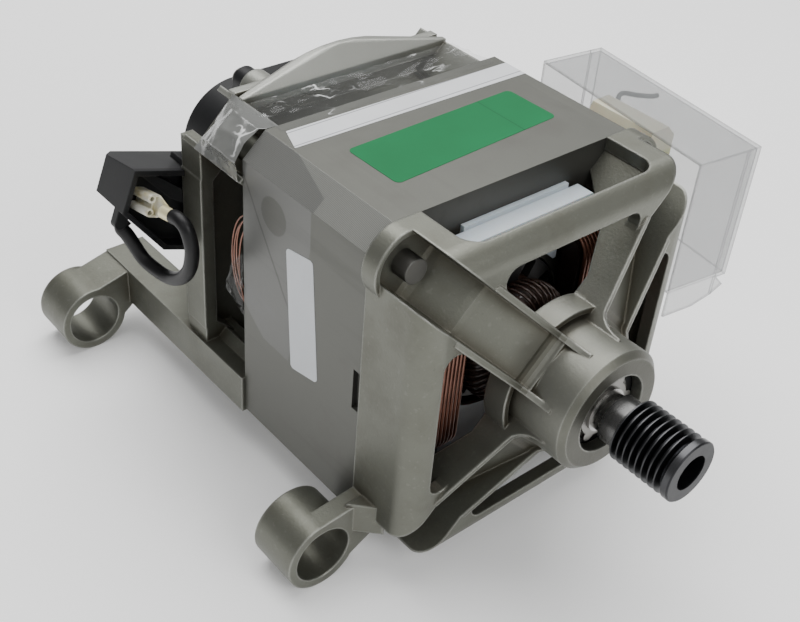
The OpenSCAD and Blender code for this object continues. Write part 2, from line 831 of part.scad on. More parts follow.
module rear_bracket() {
    cut = leg_in + floor_t;
    color("darkgray")
        difference() {
            union() {
                rear_legs();
                yprism(ring_front, ring_rear) {
                    difference() {
                        ring_outline(cup_w, ring_h, cut);
                        ring_outline(cup_w - wall, ring_h - wall, cut - wall);
                    }
                    for (s = [-1, 1])
                        translate([s * (half_w - wall / 2), 0])
                            square([wall, 2 * wall_reach], center = true);
                }
                yprism(ring_front, ring_front + crown_back) {
                    difference() {
                        ring_outline(cup_w, cup_h, cut);
                        ring_outline(cup_w - wall, ring_h - wall, cut - wall);
                    }
                    for (s = [-1, 1])
                        translate([0, s * (half_h - wall / 2)])
                            square([2 * wall_reach, wall], center = true);
                }
                yprism(ring_rear - wall, ring_rear)
                    difference() {
                        ring_outline(cup_w - over, ring_h, cut);
                        circle(bell_in);
                    }
                crown();
                rear_arm();
                bell();
                at_screws()
                    ycyl(screw_boss_r, ring_front + over, ring_rear);
            }
            ear_hole(rear_ear);
            on_diagonals()
                translate([bolt_r, 0, 0])
                    ycyl(bolt_d / 2 + seat_gap, stack_rear - over, stack_rear + bolt_thread + over);
            at_screws()
                ycyl(screw_d / 2, ring_front, ring_rear + over);
        }
}

// Bolts through bracket, stack and rear legs
module through_bolts() {
    color("silver")
        at_bolts() {
            ycyl(bolt_d / 2, up(seat_h) - over, stack_rear + bolt_thread);
            ycyl(head_d / 2, up(seat_h) - head_len, up(seat_h));
        }
}

// Ball bearing pieces
module bearing_profile(r0, r1, y0, w, ball, pitch) {
    difference() {
        translate([r0, y0])
            square([r1 - r0, w]);
        translate([pitch, y0 + w / 2])
            circle(ball + seat_gap);
    }
}
front_pitch = (shaft_d / 2 + front_bearing_d / 2) / 2;
front_ball = (front_bearing_d - shaft_d) / 8;
rear_pitch = (tail_d / 2 + rear_bearing_d / 2) / 2;
rear_ball = (rear_bearing_d - tail_d) / 8;
race = 0.72;
module front_bearing_outer() {
    color("silver")
        yrevolve()
            bearing_profile(front_pitch + race * front_ball, seat_r, bearing_front, front_bearing_w, front_ball,
                front_pitch);
}
module front_bearing_inner() {
    color("silver")
        yrevolve()
            bearing_profile(shaft_d / 2, front_pitch - race * front_ball, bearing_front, front_bearing_w,
                front_ball,
                front_pitch);
}
module rear_bearing_outer() {
    color("silver")
        yrevolve()
            bearing_profile(rear_pitch + race * rear_ball, tail_seat_r, tail_front, rear_bearing_w, rear_ball,
                rear_pitch);
}
module rear_bearing_inner() {
    color("silver")
        yrevolve()
            bearing_profile(tail_d / 2, rear_pitch - race * rear_ball, tail_front, rear_bearing_w, rear_ball,
                rear_pitch);
}
module balls(pitch, r, y) {
    color("lightgray")
        for (i = [0:ball_count - 1])
            rotate([0, 360 * i / ball_count, 0])
                translate([pitch, y, 0])
                    sphere(r, $fn = 32);
}
module front_bearing_balls() balls(front_pitch, front_ball, bearing_front + front_bearing_w / 2);
module rear_bearing_balls() balls(rear_pitch, rear_ball, tail_front + rear_bearing_w / 2);
seal_t = 1;
module front_bearing_seal() {
    color("black")
        yring(front_pitch + race * front_ball, front_pitch - race * front_ball + move_gap,
            bearing_front + seal_t / 2, bearing_front + 3 * seal_t / 2);
}

// Shaft with its journals, turned in one piece
magnet_bore = 4;
module shaft() {
    color("silver")
        yrevolve()
            polygon([[0, bore_depth], [pulley_seat / 2, bore_depth], [pulley_seat / 2, neck_rear],
                [shaft_d / 2, neck_rear], [shaft_d / 2, commutator_rear + over],
                [tail_d / 2, commutator_rear + over], [tail_d / 2, tail_rear], [magnet_bore, tail_rear],
                [magnet_bore, magnet_rear], [0, magnet_rear]]);
}
neck_rear = hub_front + hub_lip / 2;

// Armature laminations with slots for the winding
module slot_outline(extra) {
    for (i = [0:slot_count - 1])
        rotate(360 * i / slot_count) {
            translate([rotor_r - slot_depth + slot_w / 2, -slot_w / 2 + extra])
                square([slot_depth - slot_w / 2 - over / 2, slot_w - 2 * extra]);
            translate([rotor_r - slot_depth + slot_w / 2, 0])
                circle(slot_w / 2 - extra);
        }
}
slot_mouth = 2;
module armature_core() {
    color("dimgray")
        yprism(stack_front, stack_rear)
            difference() {
                circle(rotor_r);
                circle(shaft_d / 2);
                slot_outline(0);
                for (i = [0:slot_count - 1])
                    rotate(360 * i / slot_count)
                        translate([rotor_r - over, -slot_mouth / 2])
                            square([2 * over, slot_mouth]);
            }
}
turn_gap = 0.3;
winding_in = shaft_d / 2 + turn_d + 2 * turn_gap;
winding_out = winding_r - turn_d - turn_gap;
ring_half_r = (winding_out - winding_in) / 2;
ring_half_y = (winding_len - 2 * turn_d - 3 * turn_gap) / 2;
ring_mid = winding_len - turn_d - turn_gap - ring_half_y;
module end_ring(y) {
    yrevolve()
        translate([winding_in + ring_half_r, y])
            rrect(2 * ring_half_r, 2 * ring_half_y, min(ring_half_r, ring_half_y) - eps);
}
module armature_winding() {
    color("saddlebrown") {
        end_ring(stack_front - ring_mid);
        end_ring(stack_rear + ring_mid);
        yprism(stack_front, stack_rear + ring_mid)
            intersection() {
                slot_outline(seat_gap);
                circle(winding_out - turn_gap);
            }
    }
}
// End turns laid round the front winding as one unbroken strand
turn_mid_r = winding_in + ring_half_r;
turn_a = ring_half_r + turn_d / 2 + turn_gap;
turn_b = ring_half_y + turn_d / 2 + turn_gap;
turn_path = [for (i = [0:turn_count * loop_rings - 2])
    let(s = 360 * i / loop_rings, w = 360 * i / (turn_count * loop_rings), r = turn_mid_r + turn_a * cos(s))
    [r * cos(w), stack_front - ring_mid + turn_b * sin(s), r * sin(w)]];
echo(end_turn_gap = loop_gap(turn_path, loop_rings, turn_d));
module armature_end_turns() {
    color("saddlebrown")
        tube(turn_path, turn_d, wire_sides);
}

// Commutator with slits between its bars
slit = 0.6;
module commutator() {
    color("peru")
        yprism(commutator_front, commutator_rear)
            difference() {
                circle(commutator_r);
                circle(shaft_d / 2);
                for (i = [0:bar_count - 1])
                    rotate(360 * i / bar_count)
                        translate([commutator_r - over, -slit / 2])
                            square([2 * over, slit]);
            }
}

// Pulley with belt grooves, turned in one piece
rib_flat = 0.4;
module pulley() {
    r = pulley_d / 2;
    rib_end = flange_w + rib_count * rib_pitch;
    color("#202124")
        yrevolve()
            polygon(concat(
                [[pulley_bore / 2, 0], [r - rib_flat, 0], [r, rib_flat], [r, flange_w - rib_flat]],
                [for (i = [0:rib_count - 1]) let(y = flange_w + i * rib_pitch) each [
                    [r - rib_depth, y + rib_pitch / 2 - rib_flat],
                    [r - rib_depth, y + rib_pitch / 2 + rib_flat / 2],
                    [r, y + rib_pitch - rib_flat], [r, y + rib_pitch]]],
                [[neck_d / 2, rib_end + rib_pitch / 2], [neck_d / 2, hub_front - over],
                    [pulley_seat / 2, hub_front - over], [pulley_seat / 2, bore_depth],
                    [pulley_bore / 2, bore_depth]]));
}

// Toothed washer that holds the front bearing on the shaft
washer_t = 1;
lobe_count = 6;
module retaining_washer() {
    lobe_r = 2.2;
    color("silver")
        yprism(bearing_front - washer_t - seat_gap, bearing_front - seat_gap)
            difference() {
                union() {
                    circle(shaft_d / 2 + over);
                    for (i = [0:lobe_count - 1])
                        rotate(360 * i / lobe_count)
                            translate([shaft_d / 2 + over, 0])
                                circle(lobe_r);
                }
                circle(shaft_d / 2);
            }
}

// Black moulding over the bell: straight rounded sides, then a cone to the rear face
housing_back = bell_rear + seat_gap + housing_wall;
module housing_outline(inset) {
    rrect(2 * (housing_w - inset), 2 * (housing_h - inset), housing_corner - inset);
}
module brush_housing() {
    shoulder_r = housing_w - over;
    tube_hole = tube_t + seat_gap;
    color("#26272a")
        difference() {
            union() {
                yprism(ring_rear, housing_rear)
                    difference() {
                        housing_outline(0);
                        housing_outline(housing_wall);
                    }
                yprism(housing_rear - housing_wall, housing_rear)
                    difference() {
                        housing_outline(eps);
                        circle(shoulder_r - housing_wall);
                    }
                yrevolve()
                    polygon([[shoulder_r, housing_rear - eps], [dome_r, housing_back],
                        [boss_r + seat_gap, housing_back], [boss_r + seat_gap, housing_back - housing_wall],
                        [dome_r - housing_wall, housing_back - housing_wall],
                        [shoulder_r - housing_wall, housing_rear - eps]]);
                at_screws() {
                    ycyl(lug_r, ring_rear, ring_rear + lug_len);
                    translate([-lug_r, ring_rear, housing_h - housing_wall - screw_z])
                        cube([2 * lug_r, lug_len, screw_z - housing_h + housing_wall]);
                }
            }
            for (s = [-1, 1])
                on_brush(s)
                    translate([bell_r, brush_y - brush_w / 2 - tube_hole, -brush_t / 2 - tube_hole])
                        cube([bell_r, brush_w + 2 * tube_hole, brush_t + 2 * tube_hole]);
            at_screws()
                ycyl(screw_d / 2 + seat_gap, ring_rear - over, ring_rear + lug_len + over);
        }
}
module housing_screws() {
    color("silver")
        at_screws() {
            ycyl(screw_d / 2, ring_front + over, ring_rear + lug_len + eps);
            ycyl(screw_d, ring_rear + lug_len, ring_rear + lug_len + over);
        }
}

// Brush holder: a moulded box with a gusset below, open at the front for its terminal
holder_front = ring_rear - holder_lead;
tube_y = brush_y - brush_w / 2 - tube_t;
holder_rear = tube_y + brush_w + 2 * tube_t + holder_wall;
trough_rear = tube_y - holder_wall;
module holder_outline(inset) {
    polygon([[bell_r, -root_top + inset], [holder_end - inset, -holder_top + inset],
        [holder_end - inset, holder_foot - inset / 2], [gusset_end - inset / 2, gusset_foot - inset],
        [bell_r, gusset_foot - inset]]);
}
// Slanting shelf over the terminal, from the outer end's top to the root
shelf_end = 56;
shelf_top = 1.5;
shelf_t = 4;
module shelf_outline() {
    polygon([[holder_end, -holder_top], [holder_end - shelf_t, -holder_top], [shelf_end, shelf_top],
        [shelf_end, shelf_top + shelf_t], [shelf_end + 2 * shelf_t, shelf_top + shelf_t / 2]]);
}
// Rounded tab at the foot of the outer end
module tab_outline() {
    translate([holder_end - tab_w, holder_foot - over])
        square([tab_w, tab_drop + over - tab_w / 2]);
    translate([holder_end - tab_w / 2, holder_foot + tab_drop - tab_w / 2])
        circle(tab_w / 2);
}
stop_end = 62;
stop_top = 9.6;
tab_lead = 2.5;
tab_deep = 2.8;
module brush_holder(side) {
    tube_hole = tube_t + seat_gap;
    bevel = holder_bevel * sqrt(2);
    color("#2b2c2e")
        difference() {
            on_brush(side) {
                difference() {
                    union() {
                        yprism_up(holder_front, holder_rear)
                            holder_outline(0);
                        yprism_up(holder_front + tab_lead, holder_front + tab_lead + tab_deep)
                            tab_outline();
                    }
                    difference() {
                        yprism_up(holder_front - over, trough_rear)
                            holder_outline(holder_wall);
                        yprism_up(holder_front + holder_wall, trough_rear + over)
                            shelf_outline();
                    }
                    translate([bell_r, tube_y - seat_gap, -brush_t / 2 - tube_hole])
                        cube([holder_end - holder_wall - bell_r, brush_w + 2 * tube_hole,
                            brush_t + 2 * tube_hole]);
                    on_spade()
                        blade(seat_gap);
                    translate([holder_end, holder_front + holder_wall, -holder_top])
                        rotate([0, -atan((root_top - holder_top) / (holder_end - bell_r)), 0])
                            rotate([holder_taper, 0, 0])
                                translate([-2 * holder_end, 0, -2 * root_top])
                                    cube([4 * holder_end, 2 * holder_end, 2 * root_top]);
                    translate([holder_end, holder_rear, 0])
                        rotate([0, 0, 45])
                            cube([bevel, bevel, 4 * gusset_foot], center = true);
                    translate([holder_end, holder_rear, holder_foot])
                        rotate([0, atan((gusset_foot - holder_foot) / (holder_end - gusset_end)), 0])
                            rotate([45, 0, 0])
                                cube([4 * holder_end, bevel, bevel], center = true);
                }
                translate([bell_r, holder_front + holder_wall, -stop_top])
                    cube([stop_end - bell_r, 2 * tab_w, stop_top - root_top + holder_wall]);
            }
            yprism(holder_front - over, ring_rear + seat_gap)
                square(2 * (cup_w + seat_gap), center = true);
            yprism(ring_rear, holder_rear + over)
                housing_outline(-seat_gap);
        }
}
// Outline in X and Z, extruded along the shaft with its own Z kept upright
module yprism_up(y0, y1) {
    translate([0, y0, 0])
        rotate([-90, 0, 0])
            linear_extrude(y1 - y0)
                mirror([0, 1])
                    children();
}
module left_brush_holder() brush_holder(-1);
module right_brush_holder() brush_holder(1);

// Brass guide of a carbon brush, with a blade for its terminal
tube_in = commutator_r + over + over;
module brush_tube(side) {
    color("goldenrod")
        on_brush(side) {
            translate([tube_in, brush_y, 0])
                difference() {
                    translate([0, -brush_w / 2 - tube_t, -brush_t / 2 - tube_t])
                        cube([holder_end - holder_wall - over - tube_in, brush_w + 2 * tube_t,
                            brush_t + 2 * tube_t]);
                    translate([-over, -brush_w / 2 - run_gap, -brush_t / 2 - run_gap])
                        cube([holder_end, brush_w + 2 * run_gap, brush_t + 2 * run_gap]);
                }
            on_spade()
                blade(0);
        }
}
module left_brush_tube() brush_tube(-1);
module right_brush_tube() brush_tube(1);

brush_in = commutator_r + move_gap;
module brush(side) {
    color("#3a3a3a")
        on_brush(side)
            translate([brush_in, brush_y - brush_w / 2, -brush_t / 2])
                cube([brush_len, brush_w, brush_t]);
}
module left_brush() brush(-1);
module right_brush() brush(1);

// Coiled spring between a brush and the end of its holder
spring_turns = 6;
spring_rings = 8;
spring_wire = 0.6;
spring_r = brush_t / 2 - spring_wire;
spring_in = brush_in + brush_len + spring_wire / 2 + seat_gap;
spring_out = holder_end - holder_wall - spring_wire / 2 - seat_gap;
spring_path = [for (i = [0:spring_turns * spring_rings])
    let(s = 360 * i / spring_rings)
    [spring_in + (spring_out - spring_in) * i / (spring_turns * spring_rings), brush_y + spring_r * cos(s),
        spring_r * sin(s)]];
echo(spring_gap = loop_gap(spring_path, spring_rings, spring_wire));
module brush_spring(side) {
    color("silver")
        on_brush(side)
            tube(spring_path, spring_wire, wire_sides);
}
module left_brush_spring() brush_spring(-1);
module right_brush_spring() brush_spring(1);

// Female spade terminal on the tube's blade: a folded sleeve with two curled lips, a neck and a crimp
spade_a = 73;
spade_z = 4.9;
spade_t = 0.6;
lip_len = 10;
curl_r = 1.4;
crimp_len = 5;
crimp_r = 2.2;
blade_t = 0.8;
blade_w = 6;
blade_len = 8;
blade_h = spade_t + run_gap;
curl_h = blade_h + blade_t + run_gap + curl_r;
spade_set = seat_gap + spade_w / 2 * sin(spade_lean);
// Places a piece on the terminal's axis, drawn along +Y ahead of the trough's rear wall
module on_spade() {
    translate([spade_a, trough_rear - spade_set, spade_z])
        rotate([spade_lean, 0, 0])
            mirror([0, 1, 0])
                children();
}
// Blade from the tube's front wall, through the holder and into the sleeve
module blade(extra) {
    root = tube_y - trough_rear + spade_set + tube_t / 4;
    translate([blade_h - extra, -root - extra, -blade_w / 2 - extra])
        cube([blade_t + 2 * extra, root + blade_len + extra, blade_w + 2 * extra]);
}
module sleeve_outline() {
    translate([0, -spade_w / 2])
        square([spade_t, spade_w]);
    for (s = [-1, 1]) {
        translate([0, s * (spade_w - spade_t) / 2 - spade_t / 2])
            square([curl_h, spade_t]);
        translate([curl_h, s * (spade_w / 2 - curl_r)])
            difference() {
                circle(curl_r);
                circle(curl_r - spade_t);
            }
    }
}
module spade_terminal(side) {
    color("khaki")
        on_brush(side)
            on_spade() {
                yprism(0, lip_len)
                    sleeve_outline();
                translate([spade_t, 0, 0])
                    rotate([0, -90, 0])
                        linear_extrude(spade_t)
                            polygon([[-spade_w / 2, lip_len - eps], [spade_w / 2, lip_len - eps],
                                [curl_r, spade_len - crimp_len], [curl_r, spade_len], [-curl_r, spade_len],
                                [-curl_r, spade_len - crimp_len]]);
                translate([crimp_r, 0, 0])
                    yring(crimp_r, crimp_r - spade_t, spade_len - crimp_len, spade_len);
            }
}
module left_spade_terminal() spade_terminal(-1);
module right_spade_terminal() spade_terminal(1);

// Black sleeved lead of the left brush, from the terminal's crimp round and up into the holder
lead_d = 4.8;
lead_sides = 8;
lead_route = [[-70.6, 157.7, 25.9], [-70.4, 154.4, 26.5], [-70, 151.2, 25], [-69.5, 149.8, 21],
    [-69, 149.8, 16], [-68.8, 152, 8.5], [-68.8, 157, 2], [-69, 164, -2.4], [-70, 170.5, -3],
    [-71.5, 177, -1.3], [-73.5, 180.1, 4.3], [-75, 181.3, 7.9], [-76.1, 182.1, 9.9],
    [-75.7, 182.5, 11.75], [-74.02, 182.51, 12.96]];
module left_brush_lead() {
    color("#1b1b1c")
        tube(lead_route, lead_d, lead_sides);
}

// Terminal block on the side of the stack, with its row of tabs
block_front = stack_front + block_y;
module terminal_block() {
    cell = block_len / tab_count;
    block_foot = block_top - block_h;
    color("beige")
        difference() {
            yprism(block_front, block_front + block_len)
                polygon([[half_w, block_foot], [half_w, block_top - block_h / 2],
                    [half_w + block_ledge, block_top - block_h / 2],
                    [half_w + block_ledge + block_slope, block_top],
                    [half_w + block_w - block_slope, block_top], [half_w + block_w, block_top - block_slope],
                    [half_w + block_w, block_foot]]);
            for (i = [0:tab_count - 1])
                translate([half_w + block_w / 2, block_front + i * cell + cell / 4, block_foot + over])
                    cube([block_w, cell / 2, block_h - block_slope - 2 * over]);
        }
}
tab_t = 0.8;
module terminal_tabs() {
    cell = block_len / tab_count;
    color("goldenrod")
        for (i = [0:tab_count - 1])
            translate([half_w + block_w / 2, block_front + (i + 0.5) * cell - tab_t / 2,
                block_top - block_h / 2 - 2 * over])
                cube([block_w / 2 + over, tab_t, 3 * over]);
}

// Clear folded cover, open towards the stack, with a folded flap under its front end
cover_y = stack_front + cover_mid;
cover_lap = 27;
fold_x = 8.5;
tongue_side = 0.45;
tongue_fold = 0.75;
module terminal_cover() {
    top = block_top + seat_gap + cover_t;
    color([0.8, 0.85, 0.9, 0.35])
        translate([cover_x, cover_y, top - cover_h / 2])
            rotate([0, 0, cover_yaw])
                difference() {
                    union() {
                        cube([cover_w, cover_len, cover_h], center = true);
                        translate([0, -cover_len / 2, -cover_h / 2])
                            yprism(0, cover_t)
                                polygon([[-cover_w / 2, cover_t], [fold_x, cover_t],
                                    [cover_w / 2, -tongue * tongue_side], [fold_x, -tongue * tongue_fold],
                                    [0, -tongue], [-cover_w / 2, -tongue]]);
                    }
                    translate([-cover_t - cover_w / 2, cover_t - cover_len / 2, cover_t - cover_h / 2])
                        cube([cover_w, cover_len - 2 * cover_t, cover_h - 2 * cover_t]);
                    translate([-cover_w / 2 - over, cover_lap - cover_len / 2, -cover_h / 2 - over])
                        cube([cover_w + 2 * over, cover_len, 2 * over]);
                }
}

// Speed sensor behind the rear bearing
magnet_r = 11;
cap_r = boss_r + housing_wall;
module tacho_magnet() {
    color("#444444")
        yring(magnet_r, magnet_bore, magnet_rear - magnet_len, magnet_rear);
}
module tacho_coil() {
    color("#7a3b1e")
        yring(cap_r - housing_wall - seat_gap, magnet_r + move_gap, boss_rear + seat_gap, magnet_rear);
}
module tacho_cap() {
    color("#26272a")
        difference() {
            ycyl(cap_r, boss_rear - over, cap_rear);
            ycyl(boss_r + seat_gap, boss_rear - 2 * over, magnet_rear + seat_gap);
        }
}

stator_core();
field_coil_left();
field_coil_right();
front_insulator();
rear_insulator();
front_bracket();
rear_bracket();
through_bolts();
front_bearing_outer();
front_bearing_seal();
rear_bearing_outer();
brush_housing();
housing_screws();
left_brush_holder();
right_brush_holder();
left_brush_tube();
right_brush_tube();
left_spade_terminal();
right_spade_terminal();
left_brush_lead();
terminal_block();
terminal_tabs();
terminal_cover();
tacho_coil();
tacho_cap();
shaft();
armature_core();
armature_winding();
armature_end_turns();
commutator();
pulley();
front_bearing_inner();
rear_bearing_inner();
front_bearing_balls();
rear_bearing_balls();
retaining_washer();
tacho_magnet();
left_brush();
right_brush();
left_brush_spring();
right_brush_spring();
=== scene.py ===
import bpy
import bmesh
import math
import random
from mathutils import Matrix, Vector, noise


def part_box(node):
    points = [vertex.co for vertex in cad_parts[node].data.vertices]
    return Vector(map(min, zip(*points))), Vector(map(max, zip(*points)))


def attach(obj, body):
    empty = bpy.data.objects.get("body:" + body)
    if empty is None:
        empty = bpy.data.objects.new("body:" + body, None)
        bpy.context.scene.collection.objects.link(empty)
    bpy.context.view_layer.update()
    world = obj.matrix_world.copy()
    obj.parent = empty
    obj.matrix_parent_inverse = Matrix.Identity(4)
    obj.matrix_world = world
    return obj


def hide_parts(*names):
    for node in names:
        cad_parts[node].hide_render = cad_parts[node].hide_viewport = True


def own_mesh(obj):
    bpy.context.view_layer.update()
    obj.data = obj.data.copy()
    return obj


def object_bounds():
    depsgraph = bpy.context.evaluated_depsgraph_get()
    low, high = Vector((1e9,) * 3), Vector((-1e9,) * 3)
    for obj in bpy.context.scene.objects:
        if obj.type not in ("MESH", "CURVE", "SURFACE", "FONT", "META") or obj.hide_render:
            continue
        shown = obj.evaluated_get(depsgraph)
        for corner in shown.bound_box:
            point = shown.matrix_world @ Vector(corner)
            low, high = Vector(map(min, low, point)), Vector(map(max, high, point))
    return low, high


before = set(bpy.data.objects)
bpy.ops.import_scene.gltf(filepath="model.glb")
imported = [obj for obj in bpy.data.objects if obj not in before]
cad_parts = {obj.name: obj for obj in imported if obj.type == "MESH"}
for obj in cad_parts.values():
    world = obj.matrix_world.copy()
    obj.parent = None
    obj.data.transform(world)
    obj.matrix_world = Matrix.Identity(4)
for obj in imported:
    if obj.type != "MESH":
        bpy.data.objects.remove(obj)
cad_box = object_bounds()
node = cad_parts

# Lamination stack: some hundred and twenty punched sheets of electrical steel, half a millimetre
# each, pressed together. The broad faces are rubbed smooth and thinly varnished, the cut corners show
# every sheet's edge, and clear tape is stuck on the left face and the corner above it.


class Tone:
    """A value on a node socket. Sums and products of values add Math nodes."""

    def __init__(self, tree, socket=None):
        self.tree = tree
        self.socket = socket

    def add(self, kind, settings=None, inputs=None, out=0):
        """The value of a new node of any kind, with its settings and inputs."""
        made = self.tree.nodes.new(kind)
        for key, value in (settings or {}).items():
            setattr(made, key, value)
        for key, value in (inputs or {}).items():
            if isinstance(value, Tone):
                self.tree.links.new(value.socket, made.inputs[key])
            else:
                made.inputs[key].default_value = value
        return Tone(self.tree, made.outputs[out])

    def math(self, kind, a, b=0.0):
        """The value of a new Math node."""
        return self.add("ShaderNodeMath", {"operation": kind}, {0: a, 1: b})

    def __add__(self, other):
        return self.math("ADD", self, other)

    def __radd__(self, other):
        return self.math("ADD", other, self)

    def __sub__(self, other):
        return self.math("SUBTRACT", self, other)

    def __rsub__(self, other):
        return self.math("SUBTRACT", other, self)

    def __mul__(self, other):
        return self.math("MULTIPLY", self, other)

    def __rmul__(self, other):
        return self.math("MULTIPLY", other, self)

    def __truediv__(self, other):
        return self.math("DIVIDE", self, other)

    def __rtruediv__(self, other):
        return self.math("DIVIDE", other, self)

    def __abs__(self):
        return self.math("ABSOLUTE", self)


def finish(name, **constants):
    """A new material, its first Tone and its shader, with the shader's constants set."""
    made = bpy.data.materials.new(name)
    made.use_nodes = True
    shader = made.node_tree.nodes["Principled BSDF"]
    for key, value in constants.items():
        shader.inputs[key.replace("_", " ")].default_value = value
    return made, Tone(made.node_tree), shader


def wire_up(shader, **values):
    """Links values to the shader's sockets."""
    for key, value in values.items():
        value.tree.links.new(value.socket, shader.inputs[key.replace("_", " ")])


def where(t, out="Object"):
    """A coordinate of the surface: its place in the object, or its direction."""
    return t.add("ShaderNodeTexCoord", out=out)


def split(t, vector):
    """A vector's three parts, each as a value."""
    parts = t.add("ShaderNodeSeparateXYZ", inputs={0: vector}).socket.node.outputs
    return [Tone(t.tree, part) for part in parts]


def axes(t):
    """Where the surface is, in metres along x, y and z."""
    return split(t, where(t))


def facing(t):
    """The surface's own direction."""
    return split(t, where(t, "Normal"))


def grain(t, scale, detail=4.0, rough=0.55, stretch=(1, 1, 1)):
    """Cloudy noise from 0 to 1, with features about 1/scale metres across."""
    spot = t.add("ShaderNodeMapping", inputs={"Vector": where(t), "Scale": stretch})
    return t.add("ShaderNodeTexNoise",
                 inputs={"Vector": spot, "Scale": scale, "Detail": detail, "Roughness": rough})


def step(t, value, low, high):
    """0 below low, 1 above high, smooth between."""
    return t.add("ShaderNodeMapRange", {"interpolation_type": "SMOOTHSTEP"},
                 {"Value": value, "From Min": low, "From Max": high})


def blend(t, share, a, b):
    """A colour between a and b."""
    return t.add("ShaderNodeMix", {"data_type": "RGBA"}, {0: share, 6: a, 7: b}, out=2)


def bump(t, height, strength, distance, normal=None):
    """Normals that follow a height, on top of other normals if they are given."""
    inputs = {"Height": height, "Strength": strength, "Distance": distance}
    if normal:
        inputs["Normal"] = normal
    return t.add("ShaderNodeBump", inputs=inputs)


def soft_edge(t, radius):
    """Normals that round each sharp edge a little, as tumbling does."""
    return t.add("ShaderNodeBevel", {"samples": 4}, {"Radius": radius})


def rubbed(t, radius, strength=4.0):
    """1 along the edges, where hands and tools rub, and 0 on the broad faces."""
    flat = t.add("ShaderNodeNewGeometry", out="Normal")
    along = t.add("ShaderNodeVectorMath", {"operation": "DOT_PRODUCT"},
                  {0: soft_edge(t, radius), 1: flat}, out="Value")
    return step(t, (1 - along) * strength, 0.02, 1.0)


def wear(obj, made):
    """Gives an object one material."""
    obj.data.materials.clear()
    obj.data.materials.append(made)


sheet_t = 0.0005
tape_y, tape_bend_z, tape_lean = 0.106, 0.0363, 0.2085
tape_z, tape_bend_y, tape_rise = -0.0130, 0.1295, 0.803
tape_edge = 0.0004
slant_y, slant_x, slant_lean, slant_start = 0.1047, -0.052, 4.18, 0.105
patch_y, patch_z, patch_r = 0.1245, 0.0385, 0.0066
seam_y, seam_z = 0.1390, 0.0425
seam_turn = 0.834, 0.552

steel, t, shader = finish("varnished laminations", Metallic=0.55, Specular_IOR_Level=0.5)
x, y, z = axes(t)
nx, ny, nz = facing(t)
corner = step(t, abs(nx * nz), 0.2, 0.4)
end_face = step(t, abs(ny), 0.8, 0.95)
on_left = step(t, 0 - nx, 0.75, 0.95)
line = step(t, abs(t.math("FRACT", y / sheet_t) - 0.5) * 2, 0.15, 0.75)
show = 0.10 + 0.42 * corner
cloud = grain(t, 22, 5)
stain = step(t, grain(t, 45, 6, 0.65), 0.5, 0.72)
scratch = step(t, grain(t, 130, 3, 0.6, (1, 0.06, 1)), 0.55, 0.75)
base = blend(t, cloud, (0.087, 0.088, 0.076, 1), (0.128, 0.130, 0.115, 1))
base = blend(t, stain * 0.35, base, (0.076, 0.073, 0.062, 1))
base = blend(t, corner * 0.85, base, (0.330, 0.335, 0.310, 1))
# Painted shade: the front and rear faces of the stack are painted dark.
base = blend(t, end_face * 0.8, base, (0.040, 0.040, 0.036, 1))
base = blend(t, (1 - line) * show, base, (0.042, 0.040, 0.038, 1))

ragged = 0.0022 * grain(t, 130, 3)
front = t.math("MAXIMUM", tape_y, tape_y - (z - tape_bend_z) * tape_lean)
foot = t.math("MAXIMUM", tape_z, (y - tape_bend_y) * tape_rise + tape_z)
stuck = step(t, y - front, 0.0, 0.0003) * step(t, z - foot - ragged, 0.0, tape_edge) * on_left
slant = t.math("MAXIMUM", slant_start, slant_y + (x - slant_x) * slant_lean)
upper_left = corner * step(t, 0 - x, 0.0, 0.02) * step(t, z, 0.0, 0.02)
stuck = stuck + step(t, y - slant, 0.0, tape_edge) * upper_left
streak = step(t, grain(t, 75, 4, 0.6, (1, 0.3, 1)), 0.54, 0.70)
base = blend(t, stuck * (0.34 + 0.25 * streak), base, (0.128, 0.129, 0.132, 1))
ring = t.math("SQRT", (y - patch_y) * (y - patch_y) + (z - patch_z) * (z - patch_z))
ring = ring + 0.0012 * grain(t, 260, 3)
patch = (1 - step(t, ring, patch_r, patch_r + 0.0007)) * on_left
base = blend(t, patch * 0.7, base, (0.060, 0.060, 0.050, 1))
seam = (y - seam_y) * seam_turn[0] - (z - seam_z) * seam_turn[1] + 0.0008 * grain(t, 120, 2)
seam = (1 - step(t, abs(seam), 0.0003, 0.0006)) * step(t, z, 0.006, 0.012) * on_left
base = blend(t, seam * 0.6, base, (0.045, 0.044, 0.038, 1))
wire_up(shader, Base_Color=base,
        Roughness=0.36 + 0.16 * cloud + 0.10 * scratch - 0.03 * stain - 0.12 * stuck,
        Normal=bump(t, line * show + 0.25 * scratch, 0.35, 0.0002, soft_edge(t, 0.0003)))
wear(node["stator_core"], steel)

# Field coils: two coils of lacquered copper wire, each wound round one pole of the stack. The loops
# lie side by side and are a little uneven where they were laced by hand. Four loose turns hang out
# of the rear left window.


def piece(name, body, made):
    """A new object in the scene from a finished mesh, with one material."""
    mesh = bpy.data.meshes.new(name)
    body.to_mesh(mesh)
    body.free()
    mesh.materials.append(made)
    made_obj = bpy.data.objects.new(name, mesh)
    bpy.context.scene.collection.objects.link(made_obj)
    return made_obj


